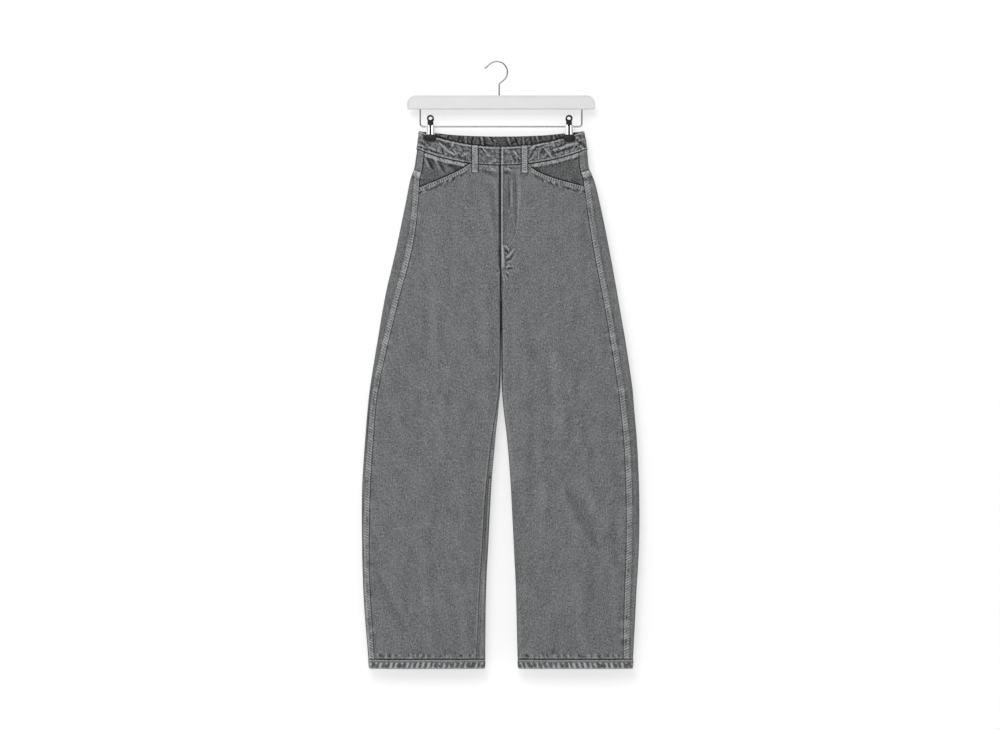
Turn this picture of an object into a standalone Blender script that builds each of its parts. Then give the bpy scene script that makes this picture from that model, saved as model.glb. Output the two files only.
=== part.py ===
"""Barrel leg trousers hanging flat by two clips from a trouser hanger.

Metres, +Z up. The front of the trousers faces -Y and +X is to the viewer's right.
The origin is the point where the hook bears on a rail, under the top of its arc.
Each half of the garment is one outer cloth surface, read by a station q and a drop
below the side waist: q 0 to 1 rolls round the inner fold, 1 to 2 crosses the front
face, 2 to 4 rounds the outer fold, 4 to 5 crosses the back face and 5 to 6 rolls
back to the inner fold. The panels are cut from that surface at the seams' stations.
"""
import math
from collections import namedtuple

import bmesh
import bpy

PART = "barrel_leg_trousers"

# Where the garment and the hanger sit from the hook's bearing point
CENTRE_X = 0.0084
WAIST_TOP_Z = -0.1392

# Cloth: one layer of denim, the made-up waistband and the gap left at each seam
DENIM = 0.0014
WAISTBAND_CLOTH = 0.0024
WAISTBAND_PROUD = 0.0007
HEM_CLOTH = 0.0028
SEAM_GAP = 0.0003

# Garment sizes down from the top of the waistband at the side
WAISTBAND_HEIGHT = 0.0364
FRONT_SAG = 0.031
BACK_SAG = 0.009
SAG_END = 0.22
YOKE_SIDE = 0.040
YOKE_CENTRE = 0.078
FLY_END = 0.274
SIDE_RIDGE = 0.0006
SIDE_RIDGE_WIDTH = 0.012
SIDE_RIDGE_STEP = 0.0015
CROTCH = 0.342
ROLL_START = 0.262
LENGTH = 1.073
HEM_HEIGHT = 0.019
SWELL = 0.045

# Laps at the front closure, where the viewer's right half lies over the left
FLY_LAP = 0.006
FLY_LAP_FADE = 0.030
WAISTBAND_LAP = 0.032
LAP_CLEARANCE = 0.0005

Outline = namedtuple("Outline", "drop outer_left outer_right inner_left inner_right depth fold")
OUTLINE = [
    Outline(0.000, 0.164, 0.166, 0.000, 0.000, 0.0130, 0.0050),
    Outline(0.033, 0.168, 0.172, 0.000, 0.000, 0.0130, 0.0050),
    Outline(0.073, 0.174, 0.176, 0.000, 0.000, 0.0130, 0.0052),
    Outline(0.097, 0.182, 0.186, 0.000, 0.000, 0.0130, 0.0055),
    Outline(0.137, 0.190, 0.196, 0.000, 0.000, 0.0130, 0.0058),
    Outline(0.233, 0.210, 0.216, 0.000, 0.000, 0.0130, 0.0062),
    Outline(0.329, 0.232, 0.234, 0.0004, 0.0004, 0.0128, 0.0065),
    Outline(0.425, 0.248, 0.250, 0.0004, 0.0004, 0.0125, 0.0065),
    Outline(0.512, 0.262, 0.263, 0.0005, 0.0005, 0.0122, 0.0065),
    Outline(0.545, 0.266, 0.266, 0.0035, 0.0025, 0.0120, 0.0065),
    Outline(0.617, 0.272, 0.272, 0.0105, 0.0115, 0.0118, 0.0065),
    Outline(0.713, 0.278, 0.276, 0.020, 0.020, 0.0115, 0.0065),
    Outline(0.833, 0.278, 0.276, 0.026, 0.026, 0.0115, 0.0065),
    Outline(0.929, 0.275, 0.271, 0.030, 0.030, 0.0112, 0.0065),
    Outline(1.025, 0.268, 0.266, 0.031, 0.032, 0.0110, 0.0065),
    Outline(1.073, 0.264, 0.264, 0.032, 0.034, 0.0110, 0.0065),
]

# How far each seam lies in from its fold, seen from the front; below 0 it is behind
Seams = namedtuple("Seams", "drop side_left side_right inseam_left inseam_right")
SEAMS = [
    Seams(0.000, 0.0155, 0.0165, 0.000, 0.000),
    Seams(0.076, 0.0170, 0.0185, 0.000, 0.000),
    Seams(0.112, 0.0220, 0.0240, 0.000, 0.000),
    Seams(0.190, 0.0310, 0.0300, 0.000, 0.000),
    Seams(0.262, 0.0330, 0.0320, 0.000, 0.000),
    Seams(0.342, 0.0290, 0.0310, 0.000, 0.000),
    Seams(0.458, 0.0200, 0.0300, 0.001, -0.003),
    Seams(0.536, 0.0170, 0.0285, 0.003, -0.004),
    Seams(0.612, 0.0170, 0.0270, 0.008, -0.004),
    Seams(0.722, 0.0170, 0.0265, 0.010, -0.004),
    Seams(0.856, 0.0145, 0.0260, 0.012, -0.004),
    Seams(0.986, 0.0140, 0.0230, 0.015, -0.004),
    Seams(1.073, 0.0130, 0.0200, 0.019, -0.004),
]

# Scooped front pockets: where the opening leaves the waistband and reaches the side
Pocket = namedtuple("Pocket", "corner side_drop bend")
POCKETS = {
    "left": Pocket(corner=0.357, side_drop=0.113, bend=0.80),
    "right": Pocket(corner=0.314, side_drop=0.1105, bend=0.56),
}
POCKET_SIDE = 0.93
FACING_BELOW = 0.055
FACING_CLOTH = 0.0012

# Rows of the body panels, closer where the seat curves in to the crotch
TOP_JOIN = 0.15
TOP_ROWS = 4
BODY_ROWS = (
    0.180, 0.210, 0.240, 0.262, 0.282, 0.300, 0.315, 0.327, 0.336, 0.342,
    0.360, 0.400, 0.450, 0.500, 0.550, 0.610, 0.670, 0.730, 0.790, 0.850,
    0.910, 0.970, 1.020,
)
YOKE_ROWS = 4
FACING_ROWS = 6
WAISTBAND_ROWS = 4

# Belt loops: place across the garment from its centre, and the face they sit on
FRONT, BACK = -1, 1
LOOPS = {
    "belt_loop_front_left": (-0.052, FRONT),
    "belt_loop_front_right": (0.047, FRONT),
    "belt_loop_back_left": (-0.092, BACK),
    "belt_loop_back_centre": (0.0, BACK),
    "belt_loop_back_right": (0.092, BACK),
}
LOOP_WIDTH = 0.012
LOOP_LENGTH = 0.054
LOOP_CLOTH = 0.0020
LOOP_BOW = 0.0018
LOOP_TOP = 0.0005

# Clips: place across the garment, and the flat that their pads press in the waistband
CLIP_X = {"left": -0.141, "right": 0.136}
PAD_WIDTH = 0.022
PAD_HEIGHT = 0.013
PAD_DEPTH = 0.0028
PAD_TOP_Z = -0.1448
PINCH_HALF = 0.0020
PINCH_INSIDE = 0.036
PINCH_OUTSIDE = 0.006
PINCH_TOP = 0.014
PINCH_END = 0.095
JAW_SHEET = 0.0012
JAW_FACE_Y = 0.0061
SPRING_RADIUS = 0.0057
SPRING_LENGTH = 0.012
SPRING_BORE = 0.0018

# Hanger
BAR_WIDTH = 0.376
BAR_TOP_Z = -0.0666
BAR_HEIGHT = 0.0276
BAR_DEPTH = 0.010
BAR_UPPER_RADIUS = 0.017
BAR_LOWER_RADIUS = 0.003
BAR_EDGE = 0.0015
WIRE_RADIUS = 0.0015
SOCKET_DEPTH = 0.012
HOOK_RADIUS = 0.0212
HOOK_STEM_X = 0.0048
ROD_HALF_WIDTH = 0.1616
ROD_Z = -0.1288
ROD_BEND = 0.006


def smoothstep(value):
    """Ease a value from 0 to 1, held at its ends."""
    value = min(max(value, 0.0), 1.0)
    return value * value * (3.0 - 2.0 * value)


def lerp(start, end, fraction):
    """Value part of the way from start to end."""
    return start + (end - start) * fraction


def sample(table, column, drop):
    """Read a table's column at a drop, along a smooth curve through its rows."""
    drops = [row.drop for row in table]
    values = [getattr(row, column) for row in table]
    last = len(table) - 1
    drop = min(max(drop, drops[0]), drops[last])
    index = max(i for i in range(last) if drops[i] <= drop)
    slopes = [
        (values[min(i + 1, last)] - values[max(i - 1, 0)])
        / (drops[min(i + 1, last)] - drops[max(i - 1, 0)])
        for i in (index, index + 1)
    ]
    step = drops[index + 1] - drops[index]
    t = (drop - drops[index]) / step
    return (
        (2 * t ** 3 - 3 * t ** 2 + 1) * values[index]
        + (t ** 3 - 2 * t ** 2 + t) * step * slopes[0]
        + (3 * t ** 2 - 2 * t ** 3) * values[index + 1]
        + (t ** 3 - t ** 2) * step * slopes[1]
    )


def crotch_roll(drop):
    """How far the centre seam has turned in, 0 in the trunk and 1 at the crotch."""
    t = min(max((drop - ROLL_START) / (CROTCH - ROLL_START), 0.0), 1.0)
    return 1.0 - math.sqrt(1.0 - t * t)


def clip_pinch(x, drop):
    """How firmly a clip presses the two faces together at this place, 0 to 1."""
    clip = CLIP_X["left"] if x < 0 else CLIP_X["right"]
    beyond = abs(x) - abs(clip)
    reach = PINCH_OUTSIDE if beyond > 0 else PINCH_INSIDE
    across = 1.0 - smoothstep((abs(beyond) - PAD_WIDTH / 2) / reach)
    down = 1.0 - smoothstep((drop - PINCH_TOP) / (PINCH_END - PINCH_TOP))
    return across * down


def face_depth(side, x, drop):
    """Distance of the outer cloth from the mid plane, at x out from the centre."""
    fold = sample(OUTLINE, "fold", drop)
    full = sample(OUTLINE, "depth", drop)
    outer = sample(OUTLINE, "outer_" + side, drop)
    inner = sample(OUTLINE, "inner_" + side, drop)
    rise_outer = smoothstep((outer - fold - x) / SWELL)
    rise_inner = 1.0 - crotch_roll(drop) * (1.0 - smoothstep((x - inner - fold) / SWELL))
    depth = fold + (full - fold) * rise_outer * rise_inner
    return lerp(depth, PINCH_HALF, clip_pinch(-x if side == "left" else x, drop))


def half_section(side, q, drop, lift=0.0, lap=0.0, under=0.0):
    """Point of one half's cloth at station q, with x outward from the centre line.

    lift moves the surface out of the cloth. lap runs the front edge on past the
    centre line, and under is how far that lap lies behind the other half.
    """
    face = FRONT
    if q > 3:
        q, face = 6 - q, BACK
    if q < 0:
        q, face = -q, -face
    fold = sample(OUTLINE, "fold", drop)
    outer = sample(OUTLINE, "outer_" + side, drop)
    inner = max(sample(OUTLINE, "inner_" + side, drop), SEAM_GAP / 2)
    start, end = inner + fold, outer - fold
    roll = crotch_roll(drop)
    if q <= 1:
        turn = q * math.pi / 2
        lap = lap if face == FRONT else 0.0
        under = under if face == FRONT else 0.0
        x = inner - lap + (fold + lap) * (1 - math.cos(turn)) - lift * roll * math.cos(turn)
        base = face_depth(side, start, drop) + lift
        depth = base * ((1 - roll) + roll * math.sin(turn))
        depth -= under * (1.0 - smoothstep((x - inner) / fold))
    elif q <= 2:
        x = lerp(start, end, q - 1)
        depth = face_depth(side, x, drop) + lift
    else:
        turn = (q - 2) * math.pi / 2
        x = end + (fold + lift) * math.sin(turn)
        depth = (fold + lift) * math.cos(turn)
    return x, face * depth


def across(q):
    """Fraction of the way from the centre line to the side, at station q."""
    if q > 3:
        q = 6 - q
    return min(max(abs(q) - 1.0, 0.0), 1.0)


def row_drop(base, q):
    """Drop of a row that follows the dip of the waist and straightens below it."""
    sag = BACK_SAG if q > 3 else FRONT_SAG
    fade = 1.0 - smoothstep((base - WAISTBAND_HEIGHT) / (SAG_END - WAISTBAND_HEIGHT))
    return base + sag * (1.0 - across(q) ** 2) * fade


def front_top(side, q):
    """Top edge of a front panel: the waistband seam, then the pocket opening."""
    pocket = POCKETS[side]
    if across(q) <= pocket.corner:
        return row_drop(WAISTBAND_HEIGHT, q) + SEAM_GAP / 2
    corner_drop = row_drop(WAISTBAND_HEIGHT, 1 + pocket.corner) + SEAM_GAP / 2
    along = min((across(q) - pocket.corner) / (POCKET_SIDE - pocket.corner), 1.0)
    return lerp(corner_drop, pocket.side_drop, along ** pocket.bend)


def yoke_drop(q):
    """Yoke seam: level round the side, then down to a point at the centre back."""
    below = lerp(YOKE_CENTRE, YOKE_SIDE, across(q)) if q > 3 else YOKE_SIDE
    return row_drop(WAISTBAND_HEIGHT, q) + below


def face_span(side, drop):
    """Width of a half's flat face between the starts of its two folds."""
    inner = max(sample(OUTLINE, "inner_" + side, drop), SEAM_GAP / 2)
    outer = sample(OUTLINE, "outer_" + side, drop)
    return outer - inner - 2 * sample(OUTLINE, "fold", drop)


def side_station(side, drop):
    """Station of the side seam on the front face, and half its gap."""
    span = face_span(side, drop)
    inset = sample(SEAMS, "side_" + side, drop) - sample(OUTLINE, "fold", drop)
    return 2 - inset / span, SEAM_GAP / 2 / span


def inseam_station(side, drop):
    """Station of the inseam from the crotch down, and half its gap."""
    fold = sample(OUTLINE, "fold", drop)
    inset = sample(SEAMS, "inseam_" + side, drop) if drop > CROTCH else 0.0
    if abs(inset) <= fold:
        turn = math.acos(1 - abs(inset) / fold)
        return math.copysign(turn / (math.pi / 2), inset), SEAM_GAP / 2 / (fold * math.pi / 2)
    span = face_span(side, drop)
    return 1 + (inset - fold) / span, SEAM_GAP / 2 / span


def front_breaks(side, drop):
    """Stations that bound a front panel and its pocket corner."""
    seam, gap = side_station(side, drop)
    inseam, inner_gap = inseam_station(side, drop)
    first = inseam + inner_gap
    return [first, max(1.0, first + 0.03), 1 + POCKETS[side].corner, seam - gap]


def back_breaks(side, drop):
    """Stations that bound a back panel, its side seam's ridge and the outer fold."""
    seam, gap = side_station(side, drop)
    inseam, inner_gap = inseam_station(side, drop)
    span = face_span(side, drop)
    ridge = seam + min(SIDE_RIDGE_WIDTH / span, 0.75 * (2.0 - seam))
    step = min(ridge + SIDE_RIDGE_STEP / span, 0.1 * ridge + 0.9 * 2.0)
    return [seam + gap, ridge, step, 2.0, 4.0, 5.0, 6.0 + inseam - inner_gap]


def facing_breaks(side, drop):
    """Stations of a pocket facing, from inside the opening to the side seam."""
    seam, gap = side_station(side, drop)
    return [1 + POCKETS[side].corner - 0.05, seam - gap]


def waistband_breaks(side, drop):
    """Stations of a waistband half, with stops at the flat under the clip's pad."""
    fold = sample(OUTLINE, "fold", drop)
    clip = abs(CLIP_X[side])
    span = face_span(side, drop)
    pad_in = 1 + (clip - PAD_WIDTH / 2 - fold) / span
    pad_out = 1 + (clip + PAD_WIDTH / 2 - fold) / span
    return [0.0, 0.9, 1.0, pad_in, pad_out, 2.0, 4.0, 6 - pad_out, 6 - pad_in, 5.0, 6.0]


def stations(breaks, counts):
    """Spread columns between the breaks, as many in each stretch as counts says."""
    spread = [breaks[0]]
    for start, end, count in zip(breaks, breaks[1:], counts):
        spread.extend(lerp(start, end, (i + 1) / count) for i in range(count))
    return spread


def closure_lap(side, drop):
    """Lap of the left front edge at the fly, and how far it lies behind."""
    if side == "right":
        return 0.0, 0.0
    lap = FLY_LAP * (1.0 - smoothstep((drop - FLY_END + FLY_LAP_FADE) / FLY_LAP_FADE))
    under = (DENIM + LAP_CLEARANCE) * (1.0 - smoothstep((drop - FLY_END) / FLY_LAP_FADE))
    return lap, under


def cloth_grid(side, rows, breaks, counts, lift, ridge=(), lap=closure_lap):
    """Points of a panel's surface, a row for each function that gives drop at q.

    lift gives how far each row's points stand out of the garment's own surface, and
    ridge how much further its first columns do.
    """
    sign = -1 if side == "left" else 1
    grid = []
    for row, out in zip(rows, lift):
        line = []
        for column in range(sum(counts) + 1):
            drop = row(1.5)
            for _ in range(4):
                q = stations(breaks(side, drop), counts)[column]
                drop = row(q)
            stand = out + (ridge[column] if column < len(ridge) else 0.0)
            x, y = half_section(side, q, drop, stand, *lap(side, drop))
            line.append((sign * x, y, -drop))
        grid.append(line)
    return grid


def link(obj):
    """Put an object in the part's collection."""
    bpy.data.collections[PART].objects.link(obj)
    return obj


def smooth_shading(mesh, degrees=35):
    """Shade a mesh smooth, with sharp edges past an angle."""
    mesh.shade_smooth()
    mesh.set_sharp_from_angle(angle=math.radians(degrees))


def sheet_faces(height, width, ring=False):
    """Quads of a sheet of points, rows by columns."""
    faces = []
    for i in range(height - 1):
        for j in range(width if ring else width - 1):
            right = (j + 1) % width
            faces.append((i * width + j, (i + 1) * width + j, (i + 1) * width + right, i * width + right))
    return faces


def make_object(name, points, faces, material, flip=False):
    """Make a mesh object in the garment's place, its faces turned if flip is set."""
    mesh = bpy.data.meshes.new(name)
    mesh.from_pydata(points, [], [face[::-1] if flip else face for face in faces])
    smooth_shading(mesh)
    mesh.materials.append(material)
    obj = link(bpy.data.objects.new(name, mesh))
    obj.location = (CENTRE_X, 0.0, WAIST_TOP_Z)
    return obj


def cloth_wall(
    name, side, rows, breaks, counts, thickness, material, lift=None, ridge=(), lap=closure_lap, ring=False
):
    """Make a panel as a wall lofted between its outer and inner surfaces.

    Both surfaces come from the same stations, so two panels that share a seam keep
    the same gap through their whole thickness, also where the seams turn in together.
    """
    lift = lift or [0.0] * len(rows)
    outer = cloth_grid(side, rows, breaks, counts, lift, ridge, lap)
    inner = cloth_grid(side, rows, breaks, counts, [out - thickness for out in lift], (), lap)
    if ring:
        outer = [line[:-1] for line in outer]
        inner = [line[:-1] for line in inner]
    height, width = len(outer), len(outer[0])
    count = height * width
    faces = sheet_faces(height, width, ring)
    faces += [tuple(count + corner for corner in face[::-1]) for face in faces]
    edge = [(0, j) for j in range(width)]
    last = [(height - 1, j) for j in range(width)]
    if ring:
        loops = [edge + edge[:1], (last + last[:1])[::-1]]
    else:
        right = [(i, width - 1) for i in range(1, height)]
        left = [(i, 0) for i in range(height - 2, -1, -1)]
        loops = [edge + right + last[-2::-1] + left]
    for loop in loops:
        for (i, j), (k, m) in zip(loop, loop[1:]):
            a, b = i * width + j, k * width + m
            faces.append((a, b, count + b, count + a))
    points = [point for line in outer + inner for point in line]
    return make_object(name, points, faces, material, side == "left")


def pressed_sheet(name, grid, thickness, material):
    """Make a strip of cloth or metal: an open sheet that Solidify thickens inward."""
    height, width = len(grid), len(grid[0])
    points = [point for line in grid for point in line]
    obj = make_object(name, points, sheet_faces(height, width), material)
    solid = obj.modifiers.new("sheet", "SOLIDIFY")
    solid.thickness = thickness
    solid.offset = -1.0
    solid.use_even_offset = True
    return obj


def front_panel(side, material):
    """Front of one leg, scooped at its upper outer corner for the pocket."""
    tops = [
        lambda q, t=i / TOP_ROWS: lerp(front_top(side, q), row_drop(TOP_JOIN, q), t)
        for i in range(TOP_ROWS + 1)
    ]
    rows = tops + [lambda q, base=base: row_drop(base, q) for base in BODY_ROWS]
    rows.append(lambda q: LENGTH - HEM_HEIGHT - SEAM_GAP / 2)
    cloth_wall("front_panel_" + side, side, rows, front_breaks, (4, 3, 7), DENIM, material)


def back_panel(side, material):
    """Back of one leg, from the yoke seam down, wrapped round the outer fold."""
    tops = [
        lambda q, t=i / TOP_ROWS: lerp(yoke_drop(q) + SEAM_GAP / 2, row_drop(TOP_JOIN + 0.02, q), t)
        for i in range(TOP_ROWS)
    ]
    bases = [base for base in BODY_ROWS if base > TOP_JOIN + 0.04]
    rows = tops + [lambda q, base=base: row_drop(base, q) for base in bases]
    rows.append(lambda q: LENGTH - HEM_HEIGHT - SEAM_GAP / 2)
    counts = (1, 1, 1, 6, 7, 4)
    ridge = (SIDE_RIDGE, SIDE_RIDGE)
    cloth_wall("back_panel_" + side, side, rows, back_breaks, counts, DENIM, material, ridge=ridge)


def back_yoke(side, material):
    """Yoke between the waistband and the back panel."""
    top = WAISTBAND_HEIGHT
    rows = [
        lambda q, t=i / YOKE_ROWS: lerp(row_drop(top, q) + SEAM_GAP / 2, yoke_drop(q) - SEAM_GAP / 2, t)
        for i in range(YOKE_ROWS + 1)
    ]
    counts = (1, 1, 1, 6, 9, 2)
    ridge = (SIDE_RIDGE, SIDE_RIDGE)
    cloth_wall("back_yoke_" + side, side, rows, back_breaks, counts, DENIM, material, ridge=ridge)


def pocket_facing(side, material):
    """Facing that shows above the pocket opening and runs on behind the panel."""
    rows = [
        lambda q, t=i / FACING_ROWS: lerp(
            row_drop(WAISTBAND_HEIGHT, q) + SEAM_GAP / 2,
            front_top(side, q) + FACING_BELOW,
            t,
        )
        for i in range(FACING_ROWS + 1)
    ]
    lift = [-(DENIM + SEAM_GAP)] * len(rows)
    cloth_wall("pocket_facing_" + side, side, rows, facing_breaks, (8,), FACING_CLOTH, material, lift)


def waistband_half(side, material):
    """Waistband from the front closure round the side to the centre back."""

    def lap(_side, _drop):
        if side == "right":
            return 0.0, 0.0
        return WAISTBAND_LAP, WAISTBAND_CLOTH + LAP_CLEARANCE

    rows = [
        lambda q, t=i / WAISTBAND_ROWS: row_drop(lerp(0.0, WAISTBAND_HEIGHT - SEAM_GAP / 2, t), q)
        for i in range(WAISTBAND_ROWS + 1)
    ]
    counts = (4, 1, 7, 2, 2, 6, 2, 2, 7, 2)
    cloth_wall(
        "waistband_" + side, side, rows, waistband_breaks, counts, WAISTBAND_CLOTH, material,
        lift=[WAISTBAND_PROUD] * len(rows), lap=lap,
    )


def hem_band(side, material):
    """Turned-up hem, a ring three layers thick at the foot of a leg."""
    lift = (0.0, 0.0006, 0.0003)
    rows = [
        lambda q, t=i / 2: lerp(LENGTH - HEM_HEIGHT + SEAM_GAP / 2, LENGTH, t)
        for i in range(3)
    ]
    breaks = [0.0, 1.0, 2.0, 4.0, 5.0, 6.0]
    cloth_wall(
        "hem_" + side, side, rows, lambda _side, _drop: breaks, (4, 8, 6, 8, 4), HEM_CLOTH, material,
        lift=lift, ring=True,
    )


def belt_loop(name, x_centre, face, material):
    """Belt loop sewn down above the waistband's top edge and below its seam."""
    stand = WAISTBAND_PROUD + SEAM_GAP + LOOP_CLOTH
    steps = 8
    grid = []
    for i in range(steps + 1):
        t = i / steps
        line = []
        for edge in (-0.5, 0.0, 0.5):
            x = x_centre - face * edge * LOOP_WIDTH
            side = "left" if x < 0 else "right"
            q = 1 + abs(x_centre) / sample(OUTLINE, "outer_" + side, 0.0)
            q = q if face == FRONT else 6 - q
            drop = row_drop(0.0, q) + LOOP_TOP + t * LOOP_LENGTH
            depth = face_depth(side, abs(x), drop) + stand + LOOP_BOW * math.sin(math.pi * t)
            line.append((x, face * depth, -drop))
        grid.append(line)
    pressed_sheet(name, grid, LOOP_CLOTH, material)


def wire(name, points, material):
    """Round wire along a list of (x, z) points in the mid plane."""
    curve = bpy.data.curves.new(name, "CURVE")
    curve.dimensions = "3D"
    curve.bevel_depth = WIRE_RADIUS
    curve.bevel_resolution = 2
    curve.use_fill_caps = True
    curve.render_resolution_u = 0
    spline = curve.splines.new("POLY")
    spline.points.add(len(points) - 1)
    for target, (x, z) in zip(spline.points, points):
        target.co = (x, 0.0, z, 1.0)
    curve.materials.append(material)
    return link(bpy.data.objects.new(name, curve))


def arc(centre, radius, start, end, steps):
    """Points of an arc in the XZ plane, angles in degrees from +X."""
    angles = [math.radians(lerp(start, end, i / steps)) for i in range(steps + 1)]
    return [(centre[0] + radius * math.cos(a), centre[1] + radius * math.sin(a)) for a in angles]


def hook(material):
    """Wire hook: a stem in the bar, a cranked neck, an arc and a straight tip."""
    centre = (0.0, WIRE_RADIUS - HOOK_RADIUS)
    neck_top = -0.0446
    points = [(HOOK_STEM_X, BAR_TOP_Z - SOCKET_DEPTH), (HOOK_STEM_X, BAR_TOP_Z), (HOOK_STEM_X, neck_top)]
    points += [(0.0058, -0.0420), (0.0088, -0.0397), (0.0132, -0.0368), (0.0172, -0.0322)]
    points += arc(centre, HOOK_RADIUS, -22.0, 132.0, 20)
    tip_x, tip_z = points[-1]
    points += [(tip_x - 0.0046, tip_z - 0.0041), (tip_x - 0.0092, tip_z - 0.0082)]
    wire("hanger_hook", points, material)


def rod(material):
    """Wire rod under the bar that the clips ride on, a flat U with bent corners."""
    top = BAR_TOP_Z - BAR_HEIGHT + SOCKET_DEPTH - SEAM_GAP
    left, right = CENTRE_X - ROD_HALF_WIDTH, CENTRE_X + ROD_HALF_WIDTH
    corner_z = ROD_Z + ROD_BEND
    points = [(left, top)]
    points += arc((left + ROD_BEND, corner_z), ROD_BEND, 180.0, 270.0, 5)
    points += arc((right - ROD_BEND, corner_z), ROD_BEND, 270.0, 360.0, 5)
    points += [(right, top)]
    wire("hanger_rod", points, material)


def socket_cutter(x, z_open, direction):
    """Cylinder that cuts a blind socket for a wire into the bar."""
    bpy.ops.mesh.primitive_cylinder_add(
        vertices=16,
        radius=WIRE_RADIUS + SEAM_GAP,
        depth=2 * (SOCKET_DEPTH + SEAM_GAP),
        location=(x, 0.0, z_open),
    )
    cutter = bpy.context.object
    cutter.name = "socket_cutter_" + direction
    for owner in list(cutter.users_collection):
        owner.objects.unlink(cutter)
    bpy.data.collections["cutters"].objects.link(cutter)
    cutter.hide_render = True
    cutter.display_type = "WIRE"
    return cutter


def hanger_bar(material):
    """Moulded bar: a flat outline with round upper ends, edges eased by a bevel."""
    half = BAR_WIDTH / 2
    low = -BAR_HEIGHT
    outline = arc((half - BAR_UPPER_RADIUS, -BAR_UPPER_RADIUS), BAR_UPPER_RADIUS, 0.0, 90.0, 6)
    outline += arc((BAR_UPPER_RADIUS - half, -BAR_UPPER_RADIUS), BAR_UPPER_RADIUS, 90.0, 180.0, 6)
    outline += arc((BAR_LOWER_RADIUS - half, low + BAR_LOWER_RADIUS), BAR_LOWER_RADIUS, 180.0, 270.0, 3)
    outline += arc((half - BAR_LOWER_RADIUS, low + BAR_LOWER_RADIUS), BAR_LOWER_RADIUS, 270.0, 360.0, 3)
    curve = bpy.data.curves.new("hanger_bar", "CURVE")
    curve.dimensions = "2D"
    curve.fill_mode = "BOTH"
    curve.extrude = BAR_DEPTH / 2
    curve.render_resolution_u = 0
    spline = curve.splines.new("POLY")
    spline.points.add(len(outline) - 1)
    spline.use_cyclic_u = True
    for target, (x, z) in zip(spline.points, outline):
        target.co = (x, z, 0.0, 1.0)
    source = link(bpy.data.objects.new("bar_outline", curve))
    source.location = (CENTRE_X, 0.0, BAR_TOP_Z)
    source.rotation_euler = (math.pi / 2, 0.0, 0.0)
    bpy.context.view_layer.update()
    evaluated = source.evaluated_get(bpy.context.evaluated_depsgraph_get())
    mesh = bpy.data.meshes.new_from_object(evaluated)
    work = bmesh.new()
    work.from_mesh(mesh)
    bmesh.ops.remove_doubles(work, verts=work.verts, dist=0.00001)
    work.to_mesh(mesh)
    work.free()
    bar = link(bpy.data.objects.new("hanger_bar", mesh))
    bar.matrix_world = source.matrix_world
    bpy.data.objects.remove(source)
    mesh.materials.clear()
    mesh.materials.append(material)
    bevel = bar.modifiers.new("edges", "BEVEL")
    bevel.width = BAR_EDGE
    bevel.segments = 2
    bevel.limit_method = "ANGLE"
    bevel.angle_limit = math.radians(50)
    under = BAR_TOP_Z - BAR_HEIGHT
    sockets = (
        socket_cutter(HOOK_STEM_X, BAR_TOP_Z, "hook"),
        socket_cutter(CENTRE_X - ROD_HALF_WIDTH, under, "rod_left"),
        socket_cutter(CENTRE_X + ROD_HALF_WIDTH, under, "rod_right"),
    )
    for cutter in sockets:
        cut = bar.modifiers.new(cutter.name, "BOOLEAN")
        cut.operation = "DIFFERENCE"
        cut.object = cutter


def clip_jaw(side, face, name, material):
    """Sprung jaw of pressed sheet: a narrow handle, a waist and a broad mouth."""
    Jaw = namedtuple("Jaw", "z y half_width")
    profile = [
        Jaw(-0.1060, 0.0090, 0.0044),
        Jaw(-0.1080, 0.0086, 0.0062),
        Jaw(-0.1150, 0.0076, 0.0064),
        Jaw(-0.1190, 0.0070, 0.0050),
        Jaw(-0.1240, JAW_FACE_Y, 0.0052),
        Jaw(-0.1270, JAW_FACE_Y, 0.0078),
        Jaw(-0.1420, JAW_FACE_Y, 0.0078),
        Jaw(PAD_TOP_Z - PAD_HEIGHT + 0.002, JAW_FACE_Y, 0.0078),
    ]
    grid = []
    for row in profile:
        y = face * (row.y + JAW_SHEET)
        grid.append([(-face * edge * row.half_width, y, row.z) for edge in (-1, 0, 1)])
    jaw = pressed_sheet(name, grid, JAW_SHEET, material)
    jaw.location = (CENTRE_X + CLIP_X[side], 0.0, 0.0)


def clip_pad(side, face, name, material):
    """Soft pad in a jaw, pressed on the waistband."""
    bpy.ops.mesh.primitive_cube_add(size=1.0)
    pad = bpy.context.object
    pad.name = name
    pad.data.name = name
    for owner in list(pad.users_collection):
        owner.objects.unlink(pad)
    link(pad)
    pad.scale = (PAD_WIDTH, PAD_DEPTH, PAD_HEIGHT)
    bpy.ops.object.transform_apply(location=False, rotation=False, scale=True)
    inner_y = PINCH_HALF + WAISTBAND_PROUD + SEAM_GAP
    pad.location = (
        CENTRE_X + CLIP_X[side],
        face * (inner_y + PAD_DEPTH / 2),
        PAD_TOP_Z - PAD_HEIGHT / 2,
    )
    bevel = pad.modifiers.new("edges", "BEVEL")
    bevel.width = 0.0008
    bevel.segments = 2
    pad.data.materials.append(material)


def clip_spring(side, material):
    """Sleeve of the spring wound round the rod between a clip's two jaws."""
    name = "clip_spring_" + side
    half = SPRING_LENGTH / 2
    profile = [(-half, SPRING_BORE), (half, SPRING_BORE), (half, SPRING_RADIUS), (-half, SPRING_RADIUS)]
    mesh = bpy.data.meshes.new(name)
    mesh.from_pydata([(x, 0.0, r) for x, r in profile], [(0, 1), (1, 2), (2, 3), (3, 0)], [])
    mesh.materials.append(material)
    spring = link(bpy.data.objects.new(name, mesh))
    spring.location = (CENTRE_X + CLIP_X[side], 0.0, ROD_Z)
    screw = spring.modifiers.new("turn", "SCREW")
    screw.axis = "X"
    screw.steps = 20
    screw.render_steps = 20
    screw.use_merge_vertices = True
    screw.merge_threshold = 0.00005


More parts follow.
